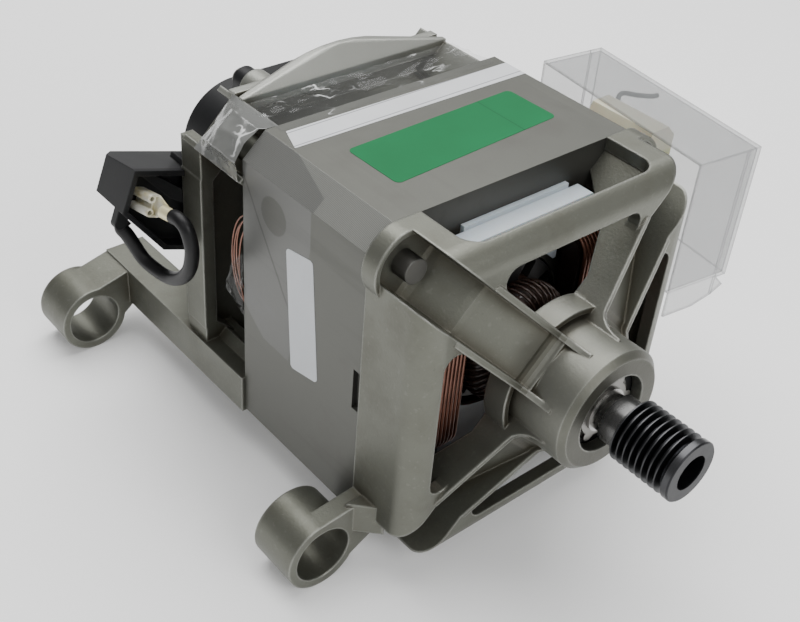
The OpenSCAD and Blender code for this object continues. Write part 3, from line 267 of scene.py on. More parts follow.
def tube(name, points, radius, sides, made):
    """A round tube along a line of points, closed at both ends."""
    body = bmesh.new()
    rings = []
    count = len(points)
    side = None
    for i, p in enumerate(points):
        ahead = (points[min(i + 1, count - 1)] - points[max(i - 1, 0)]).normalized()
        if side is None:
            side = ahead.orthogonal().normalized()
        side = (side - ahead * side.dot(ahead)).normalized()
        other = ahead.cross(side)
        ring = []
        for k in range(sides):
            turn = math.tau * k / sides
            ring.append(body.verts.new(p + radius * (math.cos(turn) * side + math.sin(turn) * other)))
        rings.append(ring)
    for a, b in zip(rings, rings[1:]):
        for k in range(sides):
            body.faces.new((a[k], b[k], b[(k + 1) % sides], a[(k + 1) % sides])).smooth = True
    body.faces.new(rings[0])
    body.faces.new(list(reversed(rings[-1])))
    bmesh.ops.recalc_face_normals(body, faces=body.faces)
    return piece(name, body, made)


def round_loop(a, b, r, count):
    """Points round a rectangle with round corners, half sizes a and b, as (u, v) pairs."""
    corners = [(a - r, b - r, 0), (-(a - r), b - r, 90), (-(a - r), -(b - r), 180), (a - r, -(b - r), 270)]
    out = []
    for cu, cv, start in corners:
        for k in range(count):
            turn = math.radians(start + 90 * k / (count - 1))
            out.append((cu + r * math.cos(turn), cv + r * math.sin(turn)))
    return out


copper, t, shader = finish("lacquered copper wire", Metallic=0.75, Coat_Roughness=0.12, Coat_IOR=1.5)
cloud = grain(t, 160, 4)
dark = step(t, grain(t, 60, 5, 0.6), 0.42, 0.68)
base = blend(t, cloud, (0.19, 0.074, 0.046, 1), (0.33, 0.150, 0.100, 1))
base = blend(t, dark * 0.55, base, (0.070, 0.028, 0.018, 1))
wire_up(shader, Base_Color=base, Roughness=0.30 + 0.22 * cloud, Coat_Weight=0.75 - 0.45 * dark,
        Normal=bump(t, cloud, 0.15, 0.0002))

# The bulk of the winding under the loops is painted near black, as painted shade between the wires.
shade, t, shader = finish("inner winding in painted shade", Metallic=0.3)
cloud = grain(t, 200, 4)
base = blend(t, cloud, (0.010, 0.006, 0.005, 1), (0.028, 0.015, 0.011, 1))
wire_up(shader, Base_Color=base, Roughness=0.45 + 0.2 * cloud)

coil_low, coil_high = (Vector(v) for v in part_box("field_coil_right"))
coil_loops = 10
coil_wire = 0.00062
coil_corner = 0.0088
layer_step = 1.75 * coil_wire
core_depth = 4.2 * coil_wire
core_wall = 0.0096
core_corners = coil_corner - 0.003, 0.002
core_end = 0.0004
mid_y = (coil_low.y + coil_high.y) / 2
half_y = (coil_high.y - coil_low.y) / 2
half_z = (coil_high.z - coil_low.z) / 2
first = coil_low.x + coil_wire
pitch = (coil_high.x - coil_low.x - 2 * coil_wire) / coil_loops
slack_range = -0.00016, 0.00004
slack_y, slack_z = 8, 12
random.seed(11)
for name, sign, part in (("left_field_wires", -1, "field_coil_left"),
                         ("right_field_wires", 1, "field_coil_right")):
    route = []
    for layer in range(2):
        inset = coil_wire + layer * layer_step
        ring = round_loop(half_y - inset, half_z - inset, coil_corner - inset, count=7)
        turns = range(coil_loops) if layer == 0 else reversed(range(coil_loops - 1))
        for loop in turns:
            slack = random.uniform(*slack_range)
            for k, (u, v) in enumerate(ring):
                part_turn = k / len(ring)
                along = loop + (part_turn if layer == 0 else 1 - part_turn) + 0.5 * layer
                route.append(Vector((sign * (first + pitch * along),
                                     mid_y + u * (1 + slack * slack_y), v * (1 + slack * slack_z))))
    wires = tube(name, route, coil_wire, sides=8, made=copper)
    body = bmesh.new()
    outer = round_loop(half_y - core_depth, half_z - core_depth, core_corners[0], count=5)
    inner = round_loop(half_y - core_wall, half_z - core_wall, core_corners[1], count=5)
    edges = []
    for ring in (outer, inner):
        for end in (coil_low.x + core_end, coil_high.x - core_end):
            edges.append([body.verts.new((sign * end, mid_y + u, v)) for u, v in ring])
    for a, b in ((edges[0], edges[1]), (edges[3], edges[2]), (edges[1], edges[3]), (edges[2], edges[0])):
        for k in range(len(a)):
            body.faces.new((a[k], b[k], b[(k + 1) % len(a)], a[(k + 1) % len(a)]))
    bmesh.ops.recalc_face_normals(body, faces=body.faces)
    core = piece(name + "_core", body, shade)
    core.parent = wires
    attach(wires, "motor_frame")
    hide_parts(part)

per_m = 1000
tail_x, tail_y = -51.5, 142.2
tail_bow, tail_gap = 1.6, 0.25
tail_wire = 0.00036
tail_steps = 18
for k, (reach, high, low) in enumerate(((151.2, 27, -9), (149.6, 25, -6), (147.8, 26, -3), (146, 23, -8))):
    route = []
    for i in range(tail_steps + 1):
        turn = math.pi * i / tail_steps
        spot = Vector((tail_x - tail_bow * math.sin(turn) - tail_gap * k,
                       tail_y + (reach - tail_y) * math.sin(turn) ** 0.8,
                       (high + low) / 2 + (high - low) / 2 * math.cos(turn)))
        route.append(spot / per_m)
    tail = tube("coil_tail_%d" % (k + 1), route, tail_wire, sides=6, made=copper)
    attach(tail, "motor_frame")

# End insulators: white nylon frames clipped on both faces of the stack. Each has a bar above and
# below that keeps the coil ends off the brackets. The lower bars are painted almost black, as painted shade.
nylon, t, shader = finish("white nylon", Subsurface_Weight=0.12, Specular_IOR_Level=0.45)
cloud = grain(t, 90, 4)
dust = step(t, grain(t, 240, 5, 0.7), 0.56, 0.78)
base = blend(t, cloud, (0.50, 0.535, 0.575, 1), (0.62, 0.65, 0.685, 1))
base = blend(t, dust * 0.30, base, (0.28, 0.275, 0.265, 1))
# Painted shade: the lower bars are darkened almost to black.
lower = 1 - step(t, axes(t)[2], -0.030, -0.010)
base = blend(t, lower * 0.94, base, (0.016, 0.013, 0.011, 1))
wire_up(shader, Base_Color=base, Roughness=0.34 + 0.20 * cloud,
        Normal=bump(t, cloud, 0.12, 0.0002, soft_edge(t, 0.0004)))
wear(node["front_insulator"], nylon)
wear(node["rear_insulator"], nylon)

# Armature: a slotted core of laminations on the shaft, with lacquered wire in its slots and crossing
# end turns that bulge out in front. The commutator's copper bars sit behind it.
core_steel, t, shader = finish("armature laminations", Metallic=0.8)
line = step(t, abs(t.math("FRACT", axes(t)[1] / sheet_t) - 0.5) * 2, 0.2, 0.8)
cloud = grain(t, 70, 4)
base = blend(t, cloud, (0.030, 0.028, 0.026, 1), (0.060, 0.058, 0.055, 1))
base = blend(t, (1 - line) * 0.5, base, (0.05, 0.05, 0.05, 1))
wire_up(shader, Base_Color=base, Roughness=0.35 + 0.2 * cloud, Normal=bump(t, line, 0.25, 0.0002))
wear(node["armature_core"], core_steel)

varnish, t, shader = finish("varnished end winding", Metallic=0.35, Coat_Roughness=0.15)
cloud = grain(t, 120, 5)
wrap = step(t, grain(t, 700, 3, 0.5, (1, 0.25, 1)), 0.4, 0.62)
base = blend(t, cloud, (0.020, 0.010, 0.007, 1), (0.050, 0.025, 0.016, 1))
wire_up(shader, Base_Color=base, Roughness=0.30 + 0.25 * cloud, Coat_Weight=0.4 + 0.4 * cloud,
        Normal=bump(t, wrap, 0.5, 0.0005))
wear(node["armature_winding"], varnish)

low, high = (Vector(v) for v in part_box("armature_end_turns"))
strand = 0.00046
strand_turns = 46
turn_points = 16
hole_r = 0.0078
sway, sway_start = 0.10, 0.7
outer_r = (high.x - low.x) / 2
mid_r = (outer_r + hole_r) / 2
half_r = (outer_r - hole_r) / 2 - strand
half_y = (high.y - low.y) / 2 - strand
route = []
for i in range(strand_turns * turn_points):
    s = math.tau * i / turn_points
    w = math.tau * i / (strand_turns * turn_points) + sway * math.sin(s + sway_start)
    r = mid_r + half_r * math.cos(s)
    route.append(Vector((r * math.cos(w), (low.y + high.y) / 2 + half_y * math.sin(s), r * math.sin(w))))
crossing = tube("crossing_end_turns", route, strand, sides=7, made=varnish)
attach(crossing, "rotor")
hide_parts("armature_end_turns")

bars, t, shader = finish("commutator copper", Metallic=0.95)
cloud = grain(t, 300, 4, 0.6, (1, 0.1, 1))
base = blend(t, cloud, (0.24, 0.112, 0.060, 1), (0.42, 0.235, 0.145, 1))
wire_up(shader, Base_Color=base, Roughness=0.22 + 0.2 * cloud, Normal=bump(t, cloud, 0.1, 0.0001))
wear(node["commutator"], bars)

# Shaft, bearings and toothed washer: the shaft and the bearing rings are ground steel, with a black
# rubber seal in the front bearing. The washer and the housing's screws are dull zinc plate.
ground, t, shader = finish("ground steel", Metallic=1.0)
cloud = grain(t, 80, 5)
turned = grain(t, 900, 3, 0.6, (0.05, 1, 0.05))
base = blend(t, cloud, (0.30, 0.295, 0.285, 1), (0.46, 0.455, 0.44, 1))
wire_up(shader, Base_Color=base, Roughness=0.16 + 0.16 * cloud + 0.08 * turned,
        Normal=bump(t, turned, 0.12, 0.0001))
for part in ("shaft", "front_bearing_outer", "front_bearing_inner", "front_bearing_balls",
             "rear_bearing_outer", "rear_bearing_inner", "rear_bearing_balls"):
    wear(node[part], ground)

zinc, t, shader = finish("zinc plated steel", Metallic=1.0)
cloud = grain(t, 150, 5)
base = blend(t, cloud, (0.16, 0.156, 0.145, 1), (0.27, 0.264, 0.248, 1))
wire_up(shader, Base_Color=base, Roughness=0.22 + 0.18 * cloud,
        Normal=bump(t, cloud, 0.1, 0.0002, soft_edge(t, 0.0003)))
for part in ("retaining_washer", "housing_screws"):
    wear(node[part], zinc)

rubber, t, shader = finish("black rubber", Specular_IOR_Level=0.4)
cloud = grain(t, 400, 4)
base = blend(t, cloud, (0.006, 0.006, 0.006, 1), (0.014, 0.014, 0.014, 1))
wire_up(shader, Base_Color=base, Roughness=0.42 + 0.2 * cloud, Normal=bump(t, cloud, 0.15, 0.0002))
wear(node["front_bearing_seal"], rubber)

# Front bracket: one aluminium die casting, with a cup round the coil ends, four spokes with raised
# flanges, a bearing hub and one mounting ear. It is left as cast, grey and finely pitted, with painted
# shade, brownish, in its corners, rubbed edges that are also painted lighter as a highlight, and a hub
# with a painted highlight at the side and darker in front.
hub_near_sq, hub_far_sq = 0.0006, 0.0011
crown_foot, crown_top = 0.050, 0.060
castings = []
for name, crown_highlight_share, hub_highlight_and_dark_front in (("front die casting", 0.0, 0.34), ("rear die casting", 0.9, 0.0)):
    casting, t, shader = finish(name, Metallic=0.72, Specular_IOR_Level=0.5)
    x, y, z = axes(t)
    front = 0 - facing(t)[1]
    cloud = grain(t, 18, 5)
    flow = grain(t, 55, 5, 0.6)
    pit = grain(t, 1100, 3, 0.6)
    fleck = step(t, grain(t, 620, 2, 0.5), 0.60, 0.74)
    openness = t.add("ShaderNodeAmbientOcclusion", {"samples": 4, "only_local": True}, {"Distance": 0.006},
                 out="AO")
    # Painted shade: darker and browner where the ambient occlusion finds a corner or crease.
    nook_shade = 1 - step(t, openness, 0.45, 0.97)
    # Rubbed edges, painted lighter also as a highlight; concave creases are left out.
    edge = rubbed(t, 0.0012) * step(t, openness, 0.55, 0.85)
    # Painted highlight on the side of the front hub; its front face is darker.
    hub = (1 - step(t, x * x + z * z, hub_near_sq, hub_far_sq)) * hub_highlight_and_dark_front
    end_face = step(t, front, 0.55, 0.85)
    # Painted highlight: the crown of the rear casting is lighter towards the top.
    crown = step(t, z, crown_foot, crown_top) * crown_highlight_share
    base = blend(t, cloud, (0.112, 0.115, 0.094, 1), (0.172, 0.175, 0.148, 1))
    base = blend(t, step(t, flow, 0.42, 0.72) * 0.45, base, (0.088, 0.086, 0.066, 1))
    base = blend(t, step(t, pit, 0.60, 0.78) * 0.25, base, (0.066, 0.066, 0.056, 1))
    base = blend(t, fleck * 0.12, base, (0.30, 0.30, 0.275, 1))
    base = blend(t, crown, base, (0.345, 0.350, 0.322, 1))
    base = blend(t, hub * (1 - end_face), base, (0.275, 0.278, 0.250, 1))
    base = blend(t, hub * end_face * 2.1, base, (0.044, 0.042, 0.032, 1))
    base = blend(t, nook_shade * 0.75, base, (0.066, 0.056, 0.036, 1))
    base = blend(t, edge * 0.75, base, (0.420, 0.425, 0.390, 1))
    wire_up(shader, Base_Color=base, Roughness=0.34 + 0.18 * flow - 0.08 * edge,
            Normal=bump(t, pit + 0.6 * flow, 0.28, 0.00025, soft_edge(t, 0.0009)))
    castings.append(casting)
wear(node["front_bracket"], castings[0])

# Rear bracket: the matching die casting behind the stack, with channel legs, a ring with a crown,
# the bell round the commutator and an arm out to the second ear. Its crown has a painted highlight.
wear(node["rear_bracket"], castings[1])

# Through bolts: four long steel bolts that clamp the stack between the brackets. Their heads are
# grey and dull from the same tumbling as the castings.
bolt, t, shader = finish("dull bolt steel", Metallic=0.8)
cloud = grain(t, 140, 5)
edge = rubbed(t, 0.0006)
base = blend(t, cloud, (0.105, 0.103, 0.094, 1), (0.160, 0.157, 0.145, 1))
base = blend(t, edge * 0.4, base, (0.28, 0.28, 0.265, 1))
wire_up(shader, Base_Color=base, Roughness=0.36 + 0.2 * cloud,
        Normal=bump(t, cloud, 0.2, 0.0003, soft_edge(t, 0.0006)))
wear(node["through_bolts"], bolt)

# Pulley: a black oiled steel sleeve with sharp grooves for a ribbed belt. The rib crests have a
# painted highlight and the neck behind them is polished.
crest_low, crest_high = 0.01012, 0.01034
neck_start = 0.0214

black, t, shader = finish("oiled black steel", Metallic=0.85)
x, y, z = axes(t)
# Painted highlight along the rib crests.
crest_highlight = step(t, t.math("SQRT", x * x + z * z), crest_low, crest_high)
neck = step(t, y, neck_start, neck_start + 0.0010)
face = 1 - step(t, y, 0.0002, 0.0006)
cloud = grain(t, 200, 5)
base = blend(t, cloud, (0.010, 0.011, 0.013, 1), (0.023, 0.024, 0.027, 1))
base = blend(t, crest_highlight * (1 - face) * 0.5, base, (0.12, 0.12, 0.124, 1))
base = blend(t, face * 0.75, base, (0.032, 0.032, 0.034, 1))
base = blend(t, neck * 0.9, base, (0.115, 0.114, 0.112, 1))
wire_up(shader, Base_Color=base, Roughness=0.26 + 0.14 * cloud + 0.10 * face - 0.06 * neck,
        Normal=bump(t, grain(t, 900, 2, 0.5, (0.1, 1, 0.1)), 0.1, 0.0001, soft_edge(t, 0.00025)))
wear(node["pulley"], black)

# Brush housing, brush holders and rear cap: black glass-filled plastic mouldings, satin, with a
# fine moulded grain and greyish rubbed edges.
plastic, t, shader = finish("black moulded plastic", Specular_IOR_Level=0.32)
cloud = grain(t, 60, 5)
fine = grain(t, 1500, 3, 0.6)
edge = rubbed(t, 0.0007)
base = blend(t, cloud, (0.0030, 0.0032, 0.0036, 1), (0.0075, 0.0078, 0.0088, 1))
base = blend(t, edge * 0.5, base, (0.026, 0.026, 0.028, 1))
wire_up(shader, Base_Color=base, Roughness=0.40 + 0.14 * cloud,
        Normal=bump(t, fine, 0.12, 0.0002, soft_edge(t, 0.0006)))
for part in ("brush_housing", "left_brush_holder", "right_brush_holder", "tacho_cap"):
    wear(node[part], plastic)

# Brush gear: pressed carbon brushes in tinned brass guides, each pushed inwards by a coiled steel
# spring. The spade terminals and tabs are of the same brass.
carbon, t, shader = finish("pressed carbon", Metallic=0.2)
cloud = grain(t, 500, 5)
base = blend(t, cloud, (0.020, 0.020, 0.020, 1), (0.065, 0.064, 0.062, 1))
wire_up(shader, Base_Color=base, Roughness=0.5 + 0.25 * cloud, Normal=bump(t, cloud, 0.3, 0.0002))
for part in ("left_brush", "right_brush"):
    wear(node[part], carbon)

brass, t, shader = finish("tinned brass", Metallic=0.5)
cloud = grain(t, 220, 5)
tin = step(t, grain(t, 140, 4), 0.40, 0.60)
base = blend(t, cloud, (0.62, 0.55, 0.30, 1), (0.80, 0.74, 0.50, 1))
base = blend(t, tin * 0.8, base, (0.88, 0.88, 0.82, 1))
wire_up(shader, Base_Color=base, Roughness=0.24 + 0.18 * cloud,
        Normal=bump(t, cloud, 0.1, 0.0001, soft_edge(t, 0.0002)))
for part in ("left_brush_tube", "right_brush_tube", "left_spade_terminal", "right_spade_terminal",
             "terminal_tabs"):
    wear(node[part], brass)

along_shaft = Vector((0, 1, 0))
brush_dir = Vector((-0.93358, 0, 0.35837))
across = brush_dir.cross(along_shaft)
brush_y = 0.1872
spring_in, spring_out = 0.0498, 0.0793
spring_r, spring_wire = 0.0019, 0.0003
spring_turns = 9
turn_points = 14
for name, sign, part, joint in (("left_coiled_spring", 1, "left_brush_spring", "left_brush_slide"),
                                ("right_coiled_spring", -1, "right_brush_spring", "right_brush_slide")):
    seat = Vector((0, brush_y, 0))
    route = []
    for i in range(spring_turns * turn_points + 1):
        turn = math.tau * i / turn_points
        reach = spring_in + (spring_out - spring_in) * i / (spring_turns * turn_points)
        route.append(sign * brush_dir * reach + seat
                     + spring_r * (math.cos(turn) * along_shaft + math.sin(turn) * across))
    spring = tube(name, route, spring_wire, sides=8, made=ground)
    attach(spring, "motor_frame")
    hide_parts(part)
    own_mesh(spring)

# Brush lead: a short black sleeved lead from the crimp of the spade terminal. It loops down and
# comes up again to the underside of the holder.


def smooth_line(points, fine):
    """A curve through points in millimetres, short of its last one, in metres."""
    knots = [Vector(p) / per_m for p in points]
    knots = [2 * knots[0] - knots[1]] + knots + [2 * knots[-1] - knots[-2]]
    out = []
    for a, b, c, d in zip(knots, knots[1:], knots[2:], knots[3:]):
        for k in range(fine):
            s = k / fine
            out.append(0.5 * (2 * b + (c - a) * s + (2 * a - 5 * b + 4 * c - d) * s ** 2
                              + (3 * b - a - 3 * c + d) * s ** 3))
    return out


sleeve, t, shader = finish("black lead sleeve", Specular_IOR_Level=0.28)
cloud = grain(t, 180, 4)
base = blend(t, cloud, (0.0025, 0.0025, 0.0028, 1), (0.007, 0.007, 0.0076, 1))
wire_up(shader, Base_Color=base, Roughness=0.34 + 0.18 * cloud, Normal=bump(t, cloud, 0.15, 0.0003))
lead_d = 0.0048
lead_points = [(-70.6, 157.7, 25.9), (-70.4, 154.4, 26.5), (-70, 151.2, 25), (-69.5, 149.8, 21),
               (-69, 149.8, 16), (-68.8, 152, 8.5), (-68.8, 157, 2), (-69, 164, -2.4), (-70, 170.5, -3),
               (-71.5, 177, -1.3), (-73.5, 180.1, 4.3), (-75, 181.3, 7.9), (-76.1, 182.1, 9.9),
               (-75.7, 182.5, 11.75), (-74.02, 182.51, 12.96)]
line_points = smooth_line(lead_points, fine=4) + [Vector(lead_points[-1]) / per_m]
curve = bpy.data.curves.new("brush_lead", "CURVE")
curve.dimensions = "3D"
curve.bevel_depth = lead_d / 2
curve.bevel_resolution = 5
curve.use_fill_caps = True
spline = curve.splines.new("POLY")
spline.points.add(len(line_points) - 1)
for point, p in zip(spline.points, line_points):
    point.co = (*p, 1)
curve.materials.append(sleeve)
lead = bpy.data.objects.new("brush_lead", curve)
bpy.context.scene.collection.objects.link(lead)
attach(lead, "motor_frame")
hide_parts("left_brush_lead")
lead_length = sum((b - a).length for a, b in zip(line_points, line_points[1:]))

# Terminal block: a cream nylon moulding on the side of the stack, with a row of brass tabs. It is
# yellower below.
cream, t, shader = finish("cream nylon", Subsurface_Weight=0.1, Specular_IOR_Level=0.45)
cloud = grain(t, 80, 5)
lower = 1 - step(t, axes(t)[2], 0.0385, 0.0400)
base = blend(t, cloud, (0.48, 0.45, 0.33, 1), (0.62, 0.59, 0.47, 1))
base = blend(t, lower * 0.6, base, (0.40, 0.41, 0.17, 1))
wire_up(shader, Base_Color=base, Roughness=0.36 + 0.2 * cloud,
        Normal=bump(t, cloud, 0.12, 0.0002, soft_edge(t, 0.0005)))
wear(node["terminal_block"], cream)

# Terminal cover: a box folded from one sheet of clear plastic. It is greyish and slightly cloudy,
# darker along its folds, with one scored line down its front.
cover_x, cover_y = 0.082, 0.0992
cover_turn = 0.12880, 0.99167
score_at = 0.0085

clear, t, shader = finish("clear folded sheet", Specular_IOR_Level=0.6)
cloud = grain(t, 35, 4)
fold = rubbed(t, 0.0012, 6.0)
base = blend(t, cloud, (0.25, 0.26, 0.262, 1), (0.34, 0.35, 0.352, 1))
base = blend(t, fold * 0.7, base, (0.11, 0.115, 0.118, 1))
x, y, z = axes(t)
in_front = step(t, 0 - facing(t)[1], 0.7, 0.9)
crossway = (x - cover_x) * cover_turn[1] - (y - cover_y) * cover_turn[0]
scored = (1 - step(t, abs(crossway - score_at), 0.00018, 0.00042)) * in_front
base = blend(t, scored * 0.8, base, (0.10, 0.10, 0.105, 1))
wire_up(shader, Base_Color=base, Roughness=0.16 + 0.14 * cloud,
        Alpha=0.24 + 0.08 * cloud + 0.34 * fold + 0.4 * scored,
        Normal=bump(t, grain(t, 20, 2), 0.12, 0.002))
wear(node["terminal_cover"], clear)

# Loose wire end: a short grey wire from the terminal block that lies bent under the cover's top.
# Its end stays inside the cover.
loose_r = 0.0009

grey, t, shader = finish("grey wire", Specular_IOR_Level=0.4)
cloud = grain(t, 200, 3)
base = blend(t, cloud, (0.030, 0.031, 0.033, 1), (0.055, 0.056, 0.060, 1))
wire_up(shader, Base_Color=base, Roughness=0.4 + 0.2 * cloud)
route = smooth_line(((79.5, 108.5, 38.5), (82, 111.5, 42.5), (85.2, 113, 45.4), (88.2, 108.3, 46),
                     (91.4, 104.6, 46.3), (94, 103.6, 46.6)), fine=6)
loose_end = tube("loose_wire_end", route, loose_r, sides=8, made=grey)
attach(loose_end, "motor_frame")

# Speed sensor: a ferrite ring on the shaft's tail, inside a small coil under the rear cap. The coil
# has the varnish of the end winding.
ferrite, t, shader = finish("pressed ferrite")
cloud = grain(t, 300, 4)
base = blend(t, cloud, (0.035, 0.035, 0.036, 1), (0.075, 0.075, 0.076, 1))
wire_up(shader, Base_Color=base, Roughness=0.5 + 0.2 * cloud, Normal=bump(t, cloud, 0.2, 0.0002))
wear(node["tacho_magnet"], ferrite)
wear(node["tacho_coil"], varnish)

# Labels: a white paper strip across the rear of the top, a green plate beside it and a white sticker
# on the left face. They are plain but for a few thin ruled lines.
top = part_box("stator_core")[1][2] * per_m
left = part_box("stator_core")[0][0] * per_m
label_gap = 0.00001
corner_points = 7


def label(name, corners, lift, radius, made):
    """A thin sheet with round corners, lifted off what it sticks to. Its corners are in millimetres."""
    a, b, c, d = (Vector(p) / per_m for p in corners)
    wide, tall = (b - a).length, (d - a).length
    outline = []
    for cu, cv, start in ((radius, radius, 180), (wide - radius, radius, 270),
                          (wide - radius, tall - radius, 0), (radius, tall - radius, 90)):
        for k in range(corner_points):
            turn = math.radians(start + 90 * k / (corner_points - 1))
            outline.append((cu + radius * math.cos(turn), cv + radius * math.sin(turn)))
    normal = (b - a).cross(d - a).normalized()
    body = bmesh.new()
    rings = []
    for height in (label_gap, lift):
        ring = []
        for u, v in outline:
            u, v = u / wide, v / tall
            spot = a * (1 - u) * (1 - v) + b * u * (1 - v) + c * u * v + d * (1 - u) * v
            ring.append(body.verts.new(spot + normal * height))
        rings.append(ring)
    under, over = rings
    body.faces.new(over)
    for k in range(len(outline)):
        after = (k + 1) % len(outline)
        body.faces.new((under[k], under[after], over[after], over[k]))
    sheet = piece(name, body, made)
    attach(sheet, "motor_frame")


paper, t, shader = finish("white label paper", Specular_IOR_Level=0.5)
y = axes(t)[1]
cloud = grain(t, 60, 4)
base = blend(t, cloud, (0.55, 0.56, 0.58, 1), (0.66, 0.67, 0.68, 1))
for at in (0.1277, 0.1352):
    rule = 1 - step(t, abs(y - at), 0.00010, 0.00028)
    base = blend(t, rule * 0.8, base, (0.10, 0.10, 0.12, 1))
wire_up(shader, Base_Color=base, Roughness=0.30 + 0.15 * cloud, Normal=bump(t, cloud, 0.1, 0.0004))
label("paper_strip", [(-46.6, 126.8, top), (47.4, 125.6, top), (47.4, 135.0, top), (-43.0, 136.4, top)],
      lift=0.00012, radius=0.0004, made=paper)

green, t, shader = finish("green plate", Specular_IOR_Level=0.12)
cloud = grain(t, 45, 4)
base = blend(t, cloud, (0.003, 0.108, 0.034, 1), (0.006, 0.156, 0.054, 1))
rule = 1 - step(t, abs(axes(t)[0] - 0.0195), 0.0001, 0.0003)
base = blend(t, rule * 0.6, base, (0.006, 0.060, 0.026, 1))
wire_up(shader, Base_Color=base, Roughness=0.45 + 0.15 * cloud, Normal=bump(t, cloud, 0.1, 0.0004))
label("green_plate", [(-33.9, 94.8, top), (34.5, 98.4, top), (33.9, 119.8, top), (-34.3, 117.8, top)],
      lift=0.00010, radius=0.002, made=green)

sticker, t, shader = finish("white sticker", Specular_IOR_Level=0.5)
cloud = grain(t, 70, 4)
base = blend(t, cloud, (0.52, 0.545, 0.57, 1), (0.62, 0.64, 0.66, 1))
wire_up(shader, Base_Color=base, Roughness=0.30 + 0.15 * cloud, Normal=bump(t, cloud, 0.1, 0.0004))
label("white_sticker", [(left, 117.8, 31.2), (left, 114.4, -13.1), (left, 100.6, -10.2), (left, 104.6, 33.6)],
      lift=0.00012, radius=0.0016, made=sticker)

# Clear tape: leftover packing tape, loose and crumpled over the rear openings and one leg, where it
# shows as a faint haze with painted white glints along its creases. The stretches stuck flat are part of the
# stack's finish.


def drape(name, rows, loose, wave, up, made):
    """A film through rows of points in millimetres, wavy where it is loose."""
    fine = 12
    lift = Vector(up).normalized() * wave
    body = bmesh.new()
    grid = []
    for i in range((len(rows) - 1) * fine + 1):
        a = min(i // fine, len(rows) - 2)
        s = i / fine - a
        free = loose[a] * (1 - s) + loose[a + 1] * s
        line = []
        for j in range((len(rows[0]) - 1) * fine + 1):
            b = min(j // fine, len(rows[0]) - 2)
            q = j / fine - b
            near = Vector(rows[a][b]).lerp(Vector(rows[a][b + 1]), q)
            far = Vector(rows[a + 1][b]).lerp(Vector(rows[a + 1][b + 1]), q)
            spot = near.lerp(far, s) / per_m
            fold = 1 - 2 * abs(noise.noise(spot * 120)) + 0.5 * noise.noise(spot * 330)
            line.append(body.verts.new(spot + lift * fold * free))
        grid.append(line)
    for a, b in zip(grid, grid[1:]):
        for k in range(len(a) - 1):
            body.faces.new((a[k], a[k + 1], b[k + 1], b[k])).smooth = True
    film = piece(name, body, made)
    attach(film, "motor_frame")


films = []
for name, cover, tint in (("crumpled clear tape", 0.10, 0.20), ("hazy clear tape", 0.72, 0.17),
                          ("torn clear tape", 0.16, 0.10)):
    film, t, shader = finish(name, Specular_IOR_Level=0.8)
    fold = grain(t, 95, 3, 0.5, (0.55, 1, 1))
    # Painted glints: along the creases the tape is lighter and less clear.
    crease_glint = step(t, 1 - abs(fold - 0.5) * 2, 0.950, 0.995) * step(t, grain(t, 60, 2), 0.45, 0.6)
    haze = grain(t, 40, 3)
    base = blend(t, crease_glint, (tint, tint * 1.02, tint * 0.98, 1), (tint * 3.6, tint * 3.65, tint * 3.6, 1))
    wire_up(shader, Base_Color=base, Roughness=0.10 + 0.15 * haze, Alpha=cover + 0.16 * haze + 0.55 * crease_glint)
    films.append(film)

across_top = (-44, -22, 0, 22, 44)
over_slot = ((137, 57.9), (141, 57.9), (147, 56.6), (153, 56.2), (158.6, 56.4))
drape("top_tape", [[(x, y, z) for x in across_top] for y, z in over_slot],
      loose=(0, 0.15, 1, 1, 0.3), wave=0.0013, up=(0, 0, 1), made=films[0])

leg_r = 70.3
diagonal = 0.70711
arch = ((10.6, 0), (6.2, 5.2), (0, 6.8), (-6.2, 5.2), (-10.6, 0))
along_leg = ((141.3, 1), (148, 1), (155, 0.95), (161, 0.35), (166, -0.15))
rows = []
for w, rise in arch:
    rows.append([((w - leg_r - rise * share) * diagonal, y, (w + leg_r + rise * share) * diagonal)
                 for y, share in along_leg])
drape("leg_tape", rows, loose=(0, 0.7, 0.5, 0.7, 0), wave=0.0009, up=(-1, 0, 1), made=films[1])

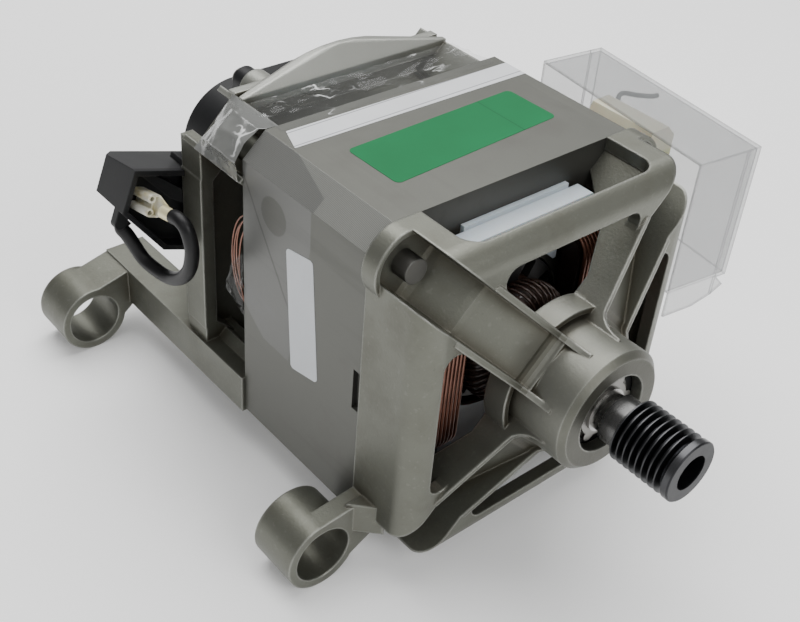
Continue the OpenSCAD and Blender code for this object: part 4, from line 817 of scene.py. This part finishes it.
torn_x, torn_y = -55.5, 140.8
torn_edge = ((2.5, 14), (10, 5), (12, -5), (5, -10))
rows = [[(torn_x + 0.4 * k, torn_y + far * k / 3, z) for k in range(4)] for far, z in torn_edge]
drape("torn_tape", rows, loose=(0, 1, 1, 0.2), wave=0.0010, up=(-1, 0, 0), made=films[2])

# Studio: a pale floor just under the lowest piece, a white surround and three large soft lights.
# The camera stands where the photograph was taken from.
floor_z = cad_box[0][2] - 0.0002
floor_half = 3
pale, t, shader = finish("pale floor", Specular_IOR_Level=0.2, Emission_Color=(1, 1, 1, 1),
                         Emission_Strength=0.12)
cloud = grain(t, 3, 3)
base = blend(t, cloud, (0.86, 0.86, 0.86, 1), (0.90, 0.90, 0.90, 1))
wire_up(shader, Base_Color=base, Roughness=0.7 + 0.1 * cloud)
body = bmesh.new()
body.faces.new([body.verts.new((u * floor_half, v * floor_half, floor_z))
                for u, v in ((-1, -1), (1, -1), (1, 1), (-1, 1))])
piece("studio_floor", body, pale)

world = bpy.data.worlds.new("white surround")
world.use_nodes = True
surround = world.node_tree.nodes["Background"].inputs
surround["Color"].default_value = (1, 1, 1, 1)
surround["Strength"].default_value = 0.28
bpy.context.scene.world = world
for name, spot, aim, size, power in (("top", (0.30, 0.55, 1.40), (0, 0.12, 0), 1.6, 44.0),
                                     ("key", (-0.90, -0.40, 0.80), (0, 0.10, 0), 0.8, 2.0),
                                     ("fill", (0.10, -1.05, 0.75), (0, 0.08, 0), 0.9, 11.0)):
    lamp = bpy.data.lights.new(name, "AREA")
    lamp.energy = power
    lamp.size = size
    lit = bpy.data.objects.new(name, lamp)
    lit.location = spot
    lit.rotation_euler = (Vector(aim) - Vector(spot)).to_track_quat("-Z", "Y").to_euler()
    bpy.context.scene.collection.objects.link(lit)

view = bpy.data.cameras.new("view")
view.sensor_width = 36
view.lens = 53.42
view.clip_start = 0.01
camera = bpy.data.objects.new("view", view)
camera.location = (-0.22787, -0.11921, 0.23300)
camera.rotation_euler = (0.917368, -0.070153, -0.695734)
bpy.context.scene.collection.objects.link(camera)
bpy.context.scene.camera = camera

bpy.context.view_layer.update()
